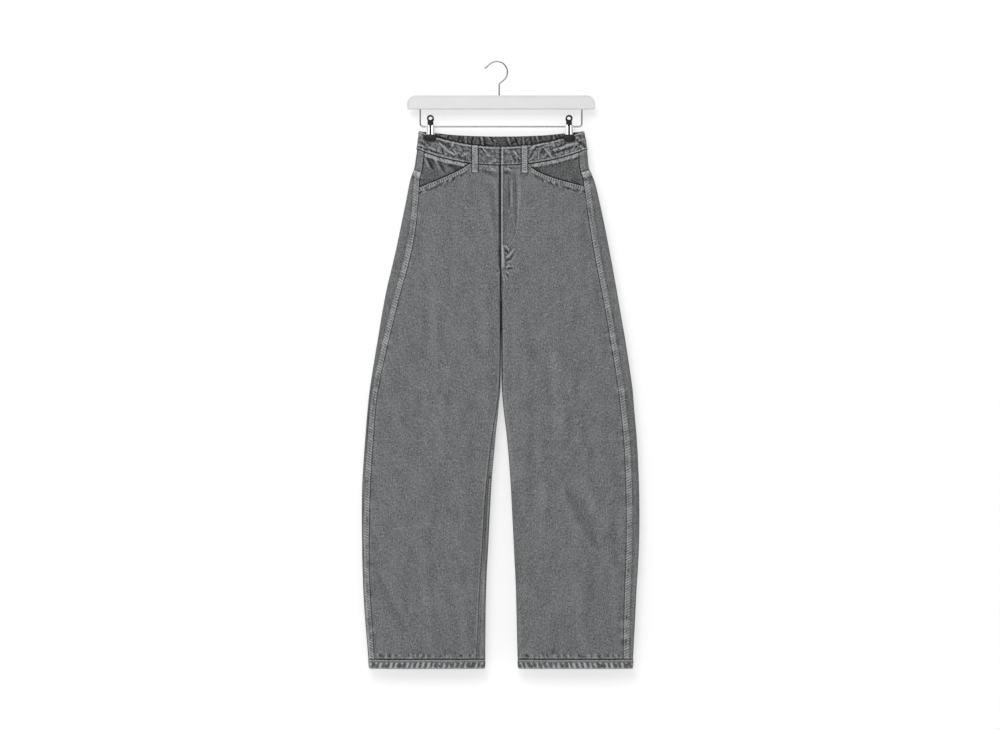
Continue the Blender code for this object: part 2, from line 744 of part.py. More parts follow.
def material(name, colour, roughness, metallic=0.0):
    """Principled material of one sub-part."""
    made = bpy.data.materials.new(name)
    made.use_nodes = True
    shader = made.node_tree.nodes["Principled BSDF"]
    shader.inputs["Base Color"].default_value = (*colour, 1.0)
    shader.inputs["Roughness"].default_value = roughness
    shader.inputs["Metallic"].default_value = metallic
    return made


def build_garment():
    """Cut and place every cloth piece."""
    denim = material("washed_denim", (0.165, 0.171, 0.174), 0.92)
    facing = material("facing_denim", (0.118, 0.120, 0.120), 0.92)
    waistband = material("waistband_denim", (0.150, 0.155, 0.158), 0.92)
    hem = material("hem_denim", (0.185, 0.190, 0.193), 0.92)
    for side in ("left", "right"):
        front_panel(side, denim)
        back_panel(side, denim)
        back_yoke(side, denim)
        pocket_facing(side, facing)
        waistband_half(side, waistband)
        hem_band(side, hem)
    for name, (x_centre, face) in LOOPS.items():
        belt_loop(name, x_centre, face, waistband)


def build_hanger():
    """Make the hanger, its rod, its hook and its two clips."""
    plastic = material("white_plastic", (0.80, 0.80, 0.80), 0.35)
    chrome = material("chrome_wire", (0.62, 0.62, 0.63), 0.18, 1.0)
    rubber = material("pad_rubber", (0.045, 0.045, 0.047), 0.7)
    hanger_bar(plastic)
    hook(chrome)
    rod(chrome)
    for side in ("left", "right"):
        clip_spring(side, chrome)
        for face, place in ((FRONT, "front"), (BACK, "back")):
            clip_jaw(side, face, f"clip_jaw_{place}_{side}", chrome)
            clip_pad(side, face, f"clip_pad_{place}_{side}", rubber)


def main():
    """Clear the scene and build the part in a collection of its own."""
    for obj in list(bpy.data.objects):
        bpy.data.objects.remove(obj)
    for name in (PART, "cutters"):
        bpy.context.scene.collection.children.link(bpy.data.collections.new(name))
    build_garment()
    build_hanger()


main()
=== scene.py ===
"""Barrel leg trousers on a clip hanger: the visual model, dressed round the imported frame.

Metres, +Z up, the front faces -Y and +X is to the viewer's right. Sizes with _mm in
their name, and the creases, are in millimetres. "Left" and "right" are the viewer's.
"""
import logging
import math
from dataclasses import dataclass, field
from enum import Enum
from typing import Callable, Optional, Sequence

import bmesh
import bpy
import numpy as np
from bpy.types import Material, Mesh, Node, NodeSocket, NodeTree, Object
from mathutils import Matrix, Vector
from mathutils.bvhtree import BVHTree


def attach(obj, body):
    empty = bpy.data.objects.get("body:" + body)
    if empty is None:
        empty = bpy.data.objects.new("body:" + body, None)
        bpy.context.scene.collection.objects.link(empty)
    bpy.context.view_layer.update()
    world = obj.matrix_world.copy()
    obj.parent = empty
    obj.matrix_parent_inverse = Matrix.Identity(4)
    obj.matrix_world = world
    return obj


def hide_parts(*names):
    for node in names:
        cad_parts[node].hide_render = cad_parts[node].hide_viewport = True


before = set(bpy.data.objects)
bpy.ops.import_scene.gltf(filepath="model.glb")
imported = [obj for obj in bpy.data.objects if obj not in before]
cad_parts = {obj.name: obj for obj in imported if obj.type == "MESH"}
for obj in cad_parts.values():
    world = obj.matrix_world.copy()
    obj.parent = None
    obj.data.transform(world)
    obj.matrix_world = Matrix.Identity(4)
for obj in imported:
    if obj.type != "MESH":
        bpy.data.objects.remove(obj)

LOG = logging.getLogger("trousers")
MM = 0.001
BODY = "root"
Array = np.ndarray
RowRule = Callable[[Array], Array]
Keep = Callable[[Array, Array], Array]


# Small maths


def smoothstep(value: Array) -> Array:
    """Ease values from 0 to 1, held at both ends."""
    value = np.clip(value, 0.0, 1.0)
    return value * value * (3.0 - 2.0 * value)


def lerp(start: Array, end: Array, fraction: Array) -> Array:
    """Value part of the way from start to end."""
    return start + (end - start) * fraction


class Ends(Enum):
    """Which ends of a stretch have their points closer together."""

    BOTH = "both"
    START = "start"
    END = "end"
    NONE = "none"


def spaced(length: float, fine: float, coarse: float, ends: Ends) -> Array:
    """Spread points over a stretch, closer at the ends that are named.

    Args:
        length: length of the stretch.
        fine: step at those ends.
        coarse: step away from them.
        ends: the ends.

    Returns:
        Fractions from 0 to 1, both ends included.
    """
    steps, at = [0.0], 0.0
    while at < length:
        near = [at] if ends in (Ends.BOTH, Ends.START) else []
        near += [length - at] if ends in (Ends.BOTH, Ends.END) else []
        distance = min(near) if near else length
        at += lerp(fine, coarse, float(smoothstep(distance / (12 * fine))))
        steps.append(at)
    marks = np.array(steps) / steps[-1]
    return (marks + 1.0 - marks[::-1]) / 2 if ends is Ends.BOTH else marks


@dataclass(frozen=True)
class Track:
    """One measured line down the garment, read along a smooth curve."""

    drops: tuple[float, ...]
    values: tuple[float, ...]

    def at(self, drop: Array) -> Array:
        """Read the line.

        Args:
            drop: the drops to read it at.

        Returns:
            Its values there.
        """
        marks, values = np.array(self.drops), np.array(self.values)
        last = len(marks) - 1
        drop = np.clip(drop, marks[0], marks[last])
        index = np.clip(np.searchsorted(marks, drop, side="right") - 1, 0, last - 1)
        after = np.minimum(np.arange(last + 1) + 1, last)
        before = np.maximum(np.arange(last + 1) - 1, 0)
        slopes = (values[after] - values[before]) / (marks[after] - marks[before])
        step = marks[index + 1] - marks[index]
        t = (drop - marks[index]) / step
        return (
            (2 * t**3 - 3 * t**2 + 1) * values[index]
            + (t**3 - 2 * t**2 + t) * step * slopes[index]
            + (3 * t**2 - 2 * t**3) * values[index + 1]
            + (t**3 - t**2) * step * slopes[index + 1]
        )


@dataclass(frozen=True)
class Lattice:
    """Smooth noise from a seeded lattice of random values, the same at each run."""

    seed: int
    size: int = 48

    def at(self, x: Array, y: Array, z: Array) -> Array:
        """Read the noise.

        Args:
            x: places along X, in lattice cells.
            y: places along Y.
            z: places along Z.

        Returns:
            Noise from -1 to 1.
        """
        table = np.random.default_rng(self.seed).uniform(-1, 1, (self.size,) * 3)
        x, y, z = np.broadcast_arrays(x, y, z)
        cells = [np.floor(c).astype(int) for c in (x, y, z)]
        parts = [smoothstep(c - cell) for c, cell in zip((x, y, z), cells)]
        total = np.zeros(x.shape)
        for corner in range(8):
            bits = [(corner >> axis) & 1 for axis in range(3)]
            weight = np.ones(x.shape)
            for bit, part in zip(bits, parts):
                weight = weight * (part if bit else 1 - part)
            i, j, k = ((cell + bit) % self.size for cell, bit in zip(cells, bits))
            total += weight * table[i, j, k]
        return total

    def ridged(self, x: Array, y: Array, z: Array) -> Array:
        """Noise with sharp crests, as crumpled cloth has, from about -1 to 1."""
        return 1.0 - 3.0 * np.abs(self.at(x, y, z))


# Garment form


class Side(Enum):
    """Half of the garment, as the viewer sees it."""

    LEFT = "left"
    RIGHT = "right"

    @property
    def sign(self) -> int:
        """Direction of this half along X."""
        return -1 if self is Side.LEFT else 1


class Face(Enum):
    """Which way a face of the garment looks along Y."""

    FRONT = -1
    BACK = 1


class Edge(Enum):
    """Edge of a cut of cloth: its first or last row, or its first or last column."""

    TOP = "top"
    BOTTOM = "bottom"
    FIRST = "first"
    LAST = "last"


@dataclass(frozen=True)
class Pocket:
    """Scooped pocket opening: where it leaves the waistband and meets the side."""

    corner: float
    side_drop: float
    bend: float


OUTLINE_DROPS = (
    0.0, 0.033, 0.073, 0.097, 0.137, 0.233, 0.329, 0.425,
    0.512, 0.545, 0.617, 0.713, 0.833, 0.929, 1.025, 1.073,
)
SEAM_DROPS = (
    0.0, 0.076, 0.112, 0.190, 0.262, 0.342, 0.458, 0.536, 0.612, 0.722, 0.856, 0.986, 1.073,
)


def outline(*values: float) -> Track:
    """Track of the silhouette's measured rows."""
    return Track(OUTLINE_DROPS, values)


def seam_track(*values: float) -> Track:
    """Track of the seams' measured rows."""
    return Track(SEAM_DROPS, values)


@dataclass
class TrouserForm:
    """Outer surface of the trousers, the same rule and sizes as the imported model.

    A point is read by a station q and a drop below the side waist: q 0 to 1 rolls
    round the inner fold, 1 to 2 crosses the front face, 2 to 4 rounds the outer fold,
    4 to 5 crosses the back face and 5 to 6 rolls back to the inner fold.
    """

    centre_x: float = 0.0084
    waist_top_z: float = -0.1392
    denim: float = 0.0014
    band_cloth: float = 0.0024
    band_proud: float = 0.0007
    hem_cloth: float = 0.0028
    gap: float = 0.0003
    touch: float = 0.00002
    band_height: float = 0.0364
    front_sag: float = 0.031
    back_sag: float = 0.009
    sag_end: float = 0.22
    yoke_side: float = 0.040
    yoke_centre: float = 0.078
    fly_end: float = 0.274
    side_ridge: float = 0.0006
    side_ridge_width: float = 0.012
    side_ridge_step: float = 0.0015
    crotch: float = 0.342
    roll_start: float = 0.262
    length: float = 1.073
    hem_height: float = 0.019
    swell: float = 0.045
    fly_lap: float = 0.006
    fly_lap_fade: float = 0.030
    band_lap: float = 0.032
    lap_clearance: float = 0.0005
    pocket_side: float = 0.93
    facing_below: float = 0.055
    facing_cloth: float = 0.0012
    top_join: float = 0.15
    clip_x: dict[Side, float] = field(default_factory=lambda: {Side.LEFT: -0.141, Side.RIGHT: 0.136})
    pad_width: float = 0.022
    pinch_half: float = 0.0020
    pinch_inside: float = 0.036
    pinch_outside: float = 0.006
    pinch_top: float = 0.014
    pinch_end: float = 0.095
    pockets: dict[Side, Pocket] = field(
        default_factory=lambda: {
            Side.LEFT: Pocket(corner=0.357, side_drop=0.113, bend=0.80),
            Side.RIGHT: Pocket(corner=0.314, side_drop=0.1105, bend=0.56),
        }
    )
    outer: dict[Side, Track] = field(
        default_factory=lambda: {
            Side.LEFT: outline(
                0.164, 0.168, 0.174, 0.182, 0.190, 0.210, 0.232, 0.248,
                0.262, 0.266, 0.272, 0.278, 0.278, 0.275, 0.268, 0.264,
            ),
            Side.RIGHT: outline(
                0.166, 0.172, 0.176, 0.186, 0.196, 0.216, 0.234, 0.250,
                0.263, 0.266, 0.272, 0.276, 0.276, 0.271, 0.266, 0.264,
            ),
        }
    )
    inner: dict[Side, Track] = field(
        default_factory=lambda: {
            Side.LEFT: outline(
                0, 0, 0, 0, 0, 0, 0, 0,
                0.0008, 0.0042, 0.0108, 0.020, 0.026, 0.030, 0.031, 0.032,
            ),
            Side.RIGHT: outline(
                0, 0, 0, 0, 0, 0, 0, 0,
                0.0008, 0.0034, 0.0118, 0.020, 0.026, 0.030, 0.032, 0.034,
            ),
        }
    )
    depth: Track = outline(
        0.013, 0.013, 0.013, 0.013, 0.013, 0.013, 0.0128, 0.0125,
        0.0122, 0.012, 0.0118, 0.0115, 0.0115, 0.0112, 0.011, 0.011,
    )
    fold: Track = outline(
        0.005, 0.005, 0.0052, 0.0055, 0.0058, 0.0062, 0.0065, 0.0065,
        0.0065, 0.0065, 0.0065, 0.0065, 0.0065, 0.0065, 0.0065, 0.0065,
    )
    side_inset: dict[Side, Track] = field(
        default_factory=lambda: {
            Side.LEFT: seam_track(
                0.0155, 0.017, 0.022, 0.031, 0.033, 0.029, 0.020,
                0.017, 0.017, 0.017, 0.0145, 0.014, 0.013,
            ),
            Side.RIGHT: seam_track(
                0.0165, 0.0185, 0.024, 0.030, 0.032, 0.031, 0.030,
                0.0285, 0.027, 0.0265, 0.026, 0.023, 0.020,
            ),
        }
    )
    inseam_inset: dict[Side, Track] = field(
        default_factory=lambda: {
            Side.LEFT: seam_track(
                0, 0, 0, 0, 0, 0, 0.001, 0.003, 0.008, 0.010, 0.012, 0.015, 0.019
            ),
            Side.RIGHT: seam_track(
                0, 0, 0, 0, 0, 0, -0.003, -0.004, -0.004, -0.004, -0.004, -0.004, -0.004
            ),
        }
    )

    def crotch_roll(self, drop: Array) -> Array:
        """How far the centre seam has turned in, 0 in the trunk and 1 at the crotch."""
        t = np.clip((drop - self.roll_start) / (self.crotch - self.roll_start), 0.0, 1.0)
        return 1.0 - np.sqrt(1.0 - t * t)

    def pinch(self, x: Array, drop: Array) -> Array:
        """Find how firmly a clip presses the two faces together.

        Args:
            x: places along X, signed.
            drop: their drops.

        Returns:
            0 where it does not, 1 under the clip.
        """
        clip = np.where(x < 0, self.clip_x[Side.LEFT], self.clip_x[Side.RIGHT])
        beyond = np.abs(x) - np.abs(clip)
        reach = np.where(beyond > 0, self.pinch_outside, self.pinch_inside)
        across = 1.0 - smoothstep((np.abs(beyond) - self.pad_width / 2) / reach)
        down = 1.0 - smoothstep((drop - self.pinch_top) / (self.pinch_end - self.pinch_top))
        return across * down

    def inner_edge(self, side: Side, drop: Array) -> Array:
        """Inner edge of a half, where the two halves all but touch."""
        return np.maximum(self.inner[side].at(drop), self.touch)

    def face_depth(self, side: Side, x: Array, drop: Array) -> Array:
        """Find how far the outer cloth lies from the mid plane.

        Args:
            side: the half.
            x: places out from the centre.
            drop: their drops.

        Returns:
            The distances.
        """
        fold, full = self.fold.at(drop), self.depth.at(drop)
        outer, inner = self.outer[side].at(drop), self.inner[side].at(drop)
        rise_outer = smoothstep((outer - fold - x) / self.swell)
        rise_inner = 1.0 - self.crotch_roll(drop) * (1.0 - smoothstep((x - inner - fold) / self.swell))
        depth = fold + (full - fold) * rise_outer * rise_inner
        return lerp(depth, self.pinch_half, self.pinch(side.sign * x, drop))

    def section(
        self, side: Side, q: Array, drop: Array, lift: Array = 0.0, lap: Array = 0.0, under: Array = 0.0
    ) -> Array:
        """Points of one half's cloth.

        Args:
            side: the half.
            q: stations.
            drop: drops below the side waist.
            lift: how far the points stand out of the surface.
            lap: how far the front edge runs on past the centre line.
            under: how far that lap lies behind the other half.

        Returns:
            Points in the garment's own frame, x signed, z down from the side waist.
        """
        q, drop = np.broadcast_arrays(q, drop)
        face = np.where(q > 3, 1, -1)
        q = np.where(q > 3, 6 - q, q)
        face = np.where(q < 0, -face, face)
        q = np.abs(q)
        fold, outer, inner = self.fold.at(drop), self.outer[side].at(drop), self.inner_edge(side, drop)
        start, end, roll = inner + fold, outer - fold, self.crotch_roll(drop)
        turn = np.clip(q, 0, 1) * math.pi / 2
        lap, under = np.where(face < 0, lap, 0.0), np.where(face < 0, under, 0.0)
        rolled_x = inner - lap + (fold + lap) * (1 - np.cos(turn)) - lift * roll * np.cos(turn)
        rolled = (self.face_depth(side, start, drop) + lift) * ((1 - roll) + roll * np.sin(turn))
        rolled = rolled - under * (1.0 - smoothstep((rolled_x - inner) / fold))
        flat_x = lerp(start, end, q - 1)
        flat = self.face_depth(side, flat_x, drop) + lift
        turn = (np.clip(q, 2, 3) - 2) * math.pi / 2
        x = np.where(q <= 1, rolled_x, np.where(q <= 2, flat_x, end + (fold + lift) * np.sin(turn)))
        depth = np.where(q <= 1, rolled, np.where(q <= 2, flat, (fold + lift) * np.cos(turn)))
        return np.stack([side.sign * x, face * depth, -drop], axis=-1)

    def across(self, q: Array) -> Array:
        """Fraction of the way from the centre line to the side, at station q."""
        return np.clip(np.abs(np.where(q > 3, 6 - q, q)) - 1.0, 0.0, 1.0)

    def row_drop(self, base: Array, q: Array) -> Array:
        """Drop of a row that follows the waist's dip and straightens below it."""
        sag = np.where(q > 3, self.back_sag, self.front_sag)
        fade = 1.0 - smoothstep((base - self.band_height) / (self.sag_end - self.band_height))
        return base + sag * (1.0 - self.across(q) ** 2) * fade

    def front_top(self, side: Side, q: Array) -> Array:
        """Follow the top edge of a front panel: the waistband seam, then the pocket opening.

        Args:
            side: the half.
            q: stations.

        Returns:
            Drops of the edge.
        """
        pocket = self.pockets[side]
        seam = self.row_drop(self.band_height, q) + self.gap / 2
        corner = self.row_drop(self.band_height, np.array(1 + pocket.corner)) + self.gap / 2
        along = np.clip((self.across(q) - pocket.corner) / (self.pocket_side - pocket.corner), 0.0, 1.0)
        opening = lerp(corner, pocket.side_drop, along**pocket.bend)
        return np.where(self.across(q) <= pocket.corner, seam, opening)

    def yoke_drop(self, q: Array) -> Array:
        """Yoke seam: level round the side, then down to a point at the centre back."""
        below = np.where(q > 3, lerp(self.yoke_centre, self.yoke_side, self.across(q)), self.yoke_side)
        return self.row_drop(self.band_height, q) + below

    def span(self, side: Side, drop: Array) -> Array:
        """Width of a half's flat face between the starts of its two folds."""
        return self.outer[side].at(drop) - self.inner_edge(side, drop) - 2 * self.fold.at(drop)

    def side_station(self, side: Side, drop: Array) -> tuple[Array, Array]:
        """Station of the side seam on the front face, and half its gap."""
        span = self.span(side, drop)
        inset = self.side_inset[side].at(drop) - self.fold.at(drop)
        return 2 - inset / span, self.gap / 2 / span

    def inseam_station(self, side: Side, drop: Array) -> tuple[Array, Array]:
        """Find the inseam, from the crotch down.

        Args:
            side: the half.
            drop: drops.

        Returns:
            Its station, and half its gap.
        """
        fold, span = self.fold.at(drop), self.span(side, drop)
        inset = np.where(drop > self.crotch, self.inseam_inset[side].at(drop), 0.0)
        turn = np.arccos(1 - np.minimum(np.abs(inset) / fold, 1.0)) / (math.pi / 2)
        rolled = np.abs(inset) <= fold
        station = np.where(rolled, np.copysign(turn, inset), 1 + (inset - fold) / span)
        return station, np.where(rolled, self.gap / (fold * math.pi), self.gap / 2 / span)

    def closure(self, side: Side, drop: Array) -> tuple[Array, Array]:
        """Find how the left front edge runs on behind the right one at the fly.

        Args:
            side: the half.
            drop: drops.

        Returns:
            Its lap, and how far it lies behind.
        """
        if side is Side.RIGHT:
            return np.zeros_like(drop), np.zeros_like(drop)
        past_end = drop - self.fly_end
        lap = self.fly_lap * (1 - smoothstep((past_end + self.fly_lap_fade) / self.fly_lap_fade))
        under = (self.denim + self.lap_clearance) * (1 - smoothstep(past_end / self.fly_lap_fade))
        return lap, under


@dataclass(frozen=True)
class Crease:
    """One soft fold drawn on a face of the garment, in millimetres.

    line holds (x from the centre line, drop) points. height is above 0 for a ridge and
    below 0 for a trough, and lean narrows one flank of it.
    """

    line: tuple[tuple[float, float], ...]
    width: float
    height: float
    face: Face = Face.FRONT
    lean: float = 0.0

    def at(self, x: Array, drop: Array) -> Array:
        """Raise or sink the cloth along this fold.

        Args:
            x: places along X, in millimetres.
            drop: their drops, in millimetres.

        Returns:
            Heights in millimetres.
        """
        points = np.array(self.line, dtype=float)
        lengths = np.linalg.norm(np.diff(points, axis=0), axis=1)
        run = np.concatenate([[0.0], np.cumsum(lengths)])
        best = np.full(np.shape(x), 1e9)
        along, flank = np.zeros(np.shape(x)), np.zeros(np.shape(x))
        for i, (start, end) in enumerate(zip(points, points[1:])):
            step = end - start
            t = np.clip(((x - start[0]) * step[0] + (drop - start[1]) * step[1]) / lengths[i] ** 2, 0, 1)
            off_x, off_d = x - start[0] - t * step[0], drop - start[1] - t * step[1]
            distance = np.hypot(off_x, off_d)
            nearer = distance < best
            best = np.where(nearer, distance, best)
            along = np.where(nearer, (run[i] + t * lengths[i]) / run[-1], along)
            flank = np.where(nearer, np.sign(off_x * step[1] - off_d * step[0]), flank)
        taper = np.clip(4 * along * (1 - along), 0, 1) ** 0.5
        width = self.width * (1 + 0.6 * self.lean * flank) * (0.55 + 0.45 * taper)
        return self.height * np.exp(-((best / width) ** 2)) * (0.25 + 0.75 * taper)


FRONT_CREASES = (
    # left half of the waistband, fanning in from the clip
    Crease(((-125, 20), (-115, 30), (-104, 41), (-91, 48)), 3.0, 1.3, lean=0.5),
    Crease(((-119, 33), (-115, 47)), 2.8, -1.1),
    Crease(((-150, 19), (-140, 27)), 2.6, -1.0),
    Crease(((-98, 35), (-86, 47)), 2.8, 1.0, lean=0.5),
    Crease(((-107, 21), (-102, 32)), 2.4, -1.0),
    Crease(((-93, 18), (-98, 30)), 2.4, 0.9),
    Crease(((-78, 49), (-64, 42)), 3.4, 0.9),
    Crease(((-86, 49), (-72, 57), (-61, 64)), 6.0, -1.3),
    Crease(((-41, 32), (-34, 41), (-26, 47)), 2.1, -1.2),
    Crease(((-37, 32), (-31, 41), (-24, 49)), 2.2, 1.1, lean=-0.5),
    Crease(((-26, 66), (-8, 55)), 4.5, 1.0),
    Crease(((-162, 3), (-156, 12)), 3.0, 0.9),
    Crease(((-166, 27), (-148, 31), (-130, 39)), 2.6, 1.1, lean=0.5),
    Crease(((-160, 20), (-146, 33), (-128, 43)), 2.6, -1.1),
    # left pocket facing and the cloth under it
    Crease(((-147, 53), (-142, 64), (-136, 75)), 3.6, -1.5, lean=0.4),
    Crease(((-155, 50), (-149, 60), (-144, 73)), 3.2, 1.0),
    Crease(((-134, 51), (-128, 62), (-121, 75)), 3.8, 1.2),
    Crease(((-126, 60), (-119, 70), (-112, 81)), 3.8, -1.3),
    Crease(((-105, 67), (-94, 72), (-85, 78)), 5.0, -1.2),
    # right half of the waistband
    Crease(((3, 34), (11, 38), (18, 43)), 4.6, 0.9),
    Crease(((24, 39), (31, 47), (38, 56)), 2.1, 1.2, lean=0.5),
    Crease(((33, 42), (37, 63)), 3.0, -1.0),
    Crease(((22, 47), (30, 60)), 3.0, -0.8),
    Crease(((57, 36), (68, 31)), 2.8, 1.2),
    Crease(((55, 31), (68, 26)), 2.0, -1.0),
    Crease(((71, 30), (85, 22)), 2.4, 1.1, lean=-0.5),
    Crease(((78, 43), (87, 36)), 5.0, -1.1),
    Crease(((87, 35), (95, 44), (103, 53)), 2.8, 1.1, lean=0.4),
    Crease(((94, 18), (97, 26)), 1.9, -1.0),
    Crease(((102, 17), (107, 31)), 2.0, 1.0),
    Crease(((114, 14), (119, 23)), 2.0, 0.9),
    Crease(((103, 38), (120, 31), (137, 25), (166, 15)), 3.4, 1.4, lean=-0.6),
    Crease(((108, 43), (126, 36), (146, 30)), 2.6, -1.1),
    Crease(((148, 22), (168, 17)), 2.4, -0.9),
    # below the waistband beside the fly
    Crease(((6, 76), (14, 74), (22, 80)), 2.4, 0.9),
    Crease(((5, 82), (16, 84)), 2.4, -0.9),
    Crease(((-40, 77), (-22, 84), (-8, 92)), 4.0, -0.7),
    Crease(((-22, 72), (-9, 80)), 3.0, 0.7),
    Crease(((-24, 104), (-15, 150), (-7, 206)), 11.0, -0.8, lean=0.3),
    Crease(((-12, 100), (-7, 160), (-4, 232)), 4.0, 0.4),
    Crease(((15, 90), (17, 150)), 1.8, -0.6),
    Crease(((21, 95), (21, 150)), 2.2, 0.7),
    Crease(((27, 82), (29, 130), (29, 182)), 4.2, -1.5),
    Crease(((37, 92), (38, 132)), 2.6, 0.5),
    Crease(((3, 153), (11, 158), (18, 166), (31, 170)), 1.7, 0.35),
    # radial puckers where the fly ends
    Crease(((2, 229), (10, 229), (16, 236)), 1.7, 2.8),
    Crease(((8, 236), (15, 243)), 2.0, -3.0),
    Crease(((10, 252), (18, 246), (28, 233)), 1.8, 3.4),
    Crease(((9, 259), (19, 254), (24, 246)), 1.9, -3.4),
    Crease(((3.5, 230), (4.5, 250), (5.5, 273)), 2.6, 3.4),
    Crease(((10, 273), (17, 266)), 1.7, 2.6),
    Crease(((12, 274), (24, 273)), 1.7, -2.8),
    Crease(((9, 279), (16, 283)), 1.5, 2.4),
    Crease(((11, 284), (16, 292)), 1.4, -2.4),
    Crease(((8, 286), (13, 297)), 1.4, 2.2),
    Crease(((3, 284), (7, 300)), 1.5, 1.6),
    Crease(((-3, 279), (-10, 290)), 1.8, 0.8),
    # seat to thigh
    Crease(((-138, 160), (-137, 250), (-139, 340), (-135, 480)), 17.0, 0.8),
    Crease(((-76, 255), (-74, 300), (-82, 352)), 16.0, -0.7),
    Crease(((-36, 290), (-34, 440)), 14.0, 1.0),
    Crease(((42, 262), (52, 340), (70, 460)), 19.0, -1.0),
    Crease(((84, 268), (110, 292), (132, 300)), 15.0, 0.8),
    Crease(((-104, 262), (-86, 270), (-64, 262)), 14.0, -0.3),
    Crease(((112, 150), (104, 210)), 16.0, 0.9),
    # knee to calf
    Crease(((-150, 455), (-164, 480), (-158, 520)), 19.0, 0.9),
    Crease(((-114, 470), (-104, 520)), 15.0, 0.9),
    Crease(((100, 440), (112, 520), (110, 620)), 22.0, 1.3),
    Crease(((132, 715), (158, 770), (198, 835)), 16.0, -1.4, lean=0.4),
    Crease(((158, 690), (186, 746), (220, 800)), 15.0, 0.9),
    Crease(((-244, 890), (-222, 944), (-190, 1000)), 15.0, -1.3, lean=-0.4),
    Crease(((-200, 670), (-188, 790)), 20.0, -1.0),
    Crease(((-116, 660), (-126, 770)), 15.0, -0.9),
    Crease(((-152, 790), (-136, 860), (-142, 930)), 16.0, -1.0),
    Crease(((84, 700), (80, 800)), 12.0, 0.8),
    Crease(((56, 640), (60, 760)), 15.0, -0.8),
    Crease(((216, 780), (234, 870)), 14.0, -0.8),
    Crease(((-90, 900), (-76, 980), (-72, 1040)), 14.0, 1.0),
    Crease(((-150, 930), (-140, 1040)), 16.0, 0.8),
    Crease(((150, 880), (160, 1000), (168, 1050)), 14.0, 0.9),
    Crease(((104, 960), (108, 1050)), 10.0, -0.8),
)

BACK_CREASES = (
    # inside the waist, where the back waistband shows over the front's dip
    Crease(((-84, 2), (-87, 26)), 2.4, 1.2, Face.BACK),
    Crease(((-72, 1), (-70, 24)), 2.6, -1.2, Face.BACK),
    Crease(((-55, 2), (-60, 25)), 2.2, 1.1, Face.BACK, 0.5),
    Crease(((-40, 6), (-35, 32)), 2.6, -1.2, Face.BACK),
    Crease(((-24, 6), (-14, 22)), 2.2, 1.2, Face.BACK, 0.5),
    Crease(((-9, 24), (2, 12)), 2.4, 1.0, Face.BACK),
    Crease(((12, 8), (20, 28)), 2.2, -1.1, Face.BACK),
    Crease(((27, 6), (36, 30)), 2.2, 1.2, Face.BACK, -0.5),
    Crease(((44, 4), (46, 28)), 2.0, -1.0, Face.BACK),
    Crease(((58, 3), (62, 26)), 2.0, 1.1, Face.BACK),
    Crease(((70, 2), (76, 22)), 2.2, -1.1, Face.BACK),
    Crease(((84, 1), (95, 24)), 2.2, 1.1, Face.BACK, 0.4),
    Crease(((104, 4), (112, 34)), 2.6, -1.0, Face.BACK),
    Crease(((-104, 6), (-114, 34)), 2.6, 1.0, Face.BACK),
    Crease(((-122, 30), (-104, 44)), 3.0, -1.0, Face.BACK),
    Crease(((122, 36), (140, 24)), 3.0, 1.1, Face.BACK),
    # seat and legs behind, drawn in the manner of the front
    Crease(((-20, 120), (-26, 190), (-14, 270)), 9.0, -1.2, Face.BACK),
    Crease(((22, 128), (30, 200), (14, 280)), 9.0, -1.2, Face.BACK),
    Crease(((-6, 330), (-40, 352), (-92, 360)), 13.0, -1.5, Face.BACK, 0.4),
    Crease(((8, 336), (52, 350), (110, 352)), 12.0, -1.4, Face.BACK, -0.4),
    Crease(((-14, 356), (-58, 384), (-120, 388)), 14.0, 1.2, Face.BACK),
    Crease(((16, 360), (60, 376), (130, 372)), 14.0, 1.1, Face.BACK),
    Crease(((-130, 180), (-134, 300), (-128, 420)), 11.0, 1.3, Face.BACK),
    Crease(((128, 190), (132, 300), (126, 430)), 11.0, 1.2, Face.BACK),
    Crease(((-190, 530), (-130, 548), (-70, 572)), 14.0, -1.2, Face.BACK, 0.4),
    Crease(((-196, 560), (-140, 580), (-84, 600)), 14.0, 1.0, Face.BACK),
    Crease(((70, 590), (128, 560), (200, 548)), 15.0, -1.2, Face.BACK, 0.4),
    Crease(((84, 620), (140, 590), (206, 580)), 14.0, 1.0, Face.BACK),
    Crease(((-150, 700), (-142, 820)), 14.0, 1.0, Face.BACK),
    Crease(((150, 690), (144, 830)), 14.0, 1.0, Face.BACK),
    Crease(((-210, 840), (-176, 950)), 16.0, -1.1, Face.BACK),
    Crease(((206, 800), (170, 930)), 16.0, -1.1, Face.BACK),
    Crease(((-96, 940), (-90, 1040)), 12.0, 0.9, Face.BACK),
    Crease(((98, 930), (92, 1040)), 12.0, 0.9, Face.BACK),
)


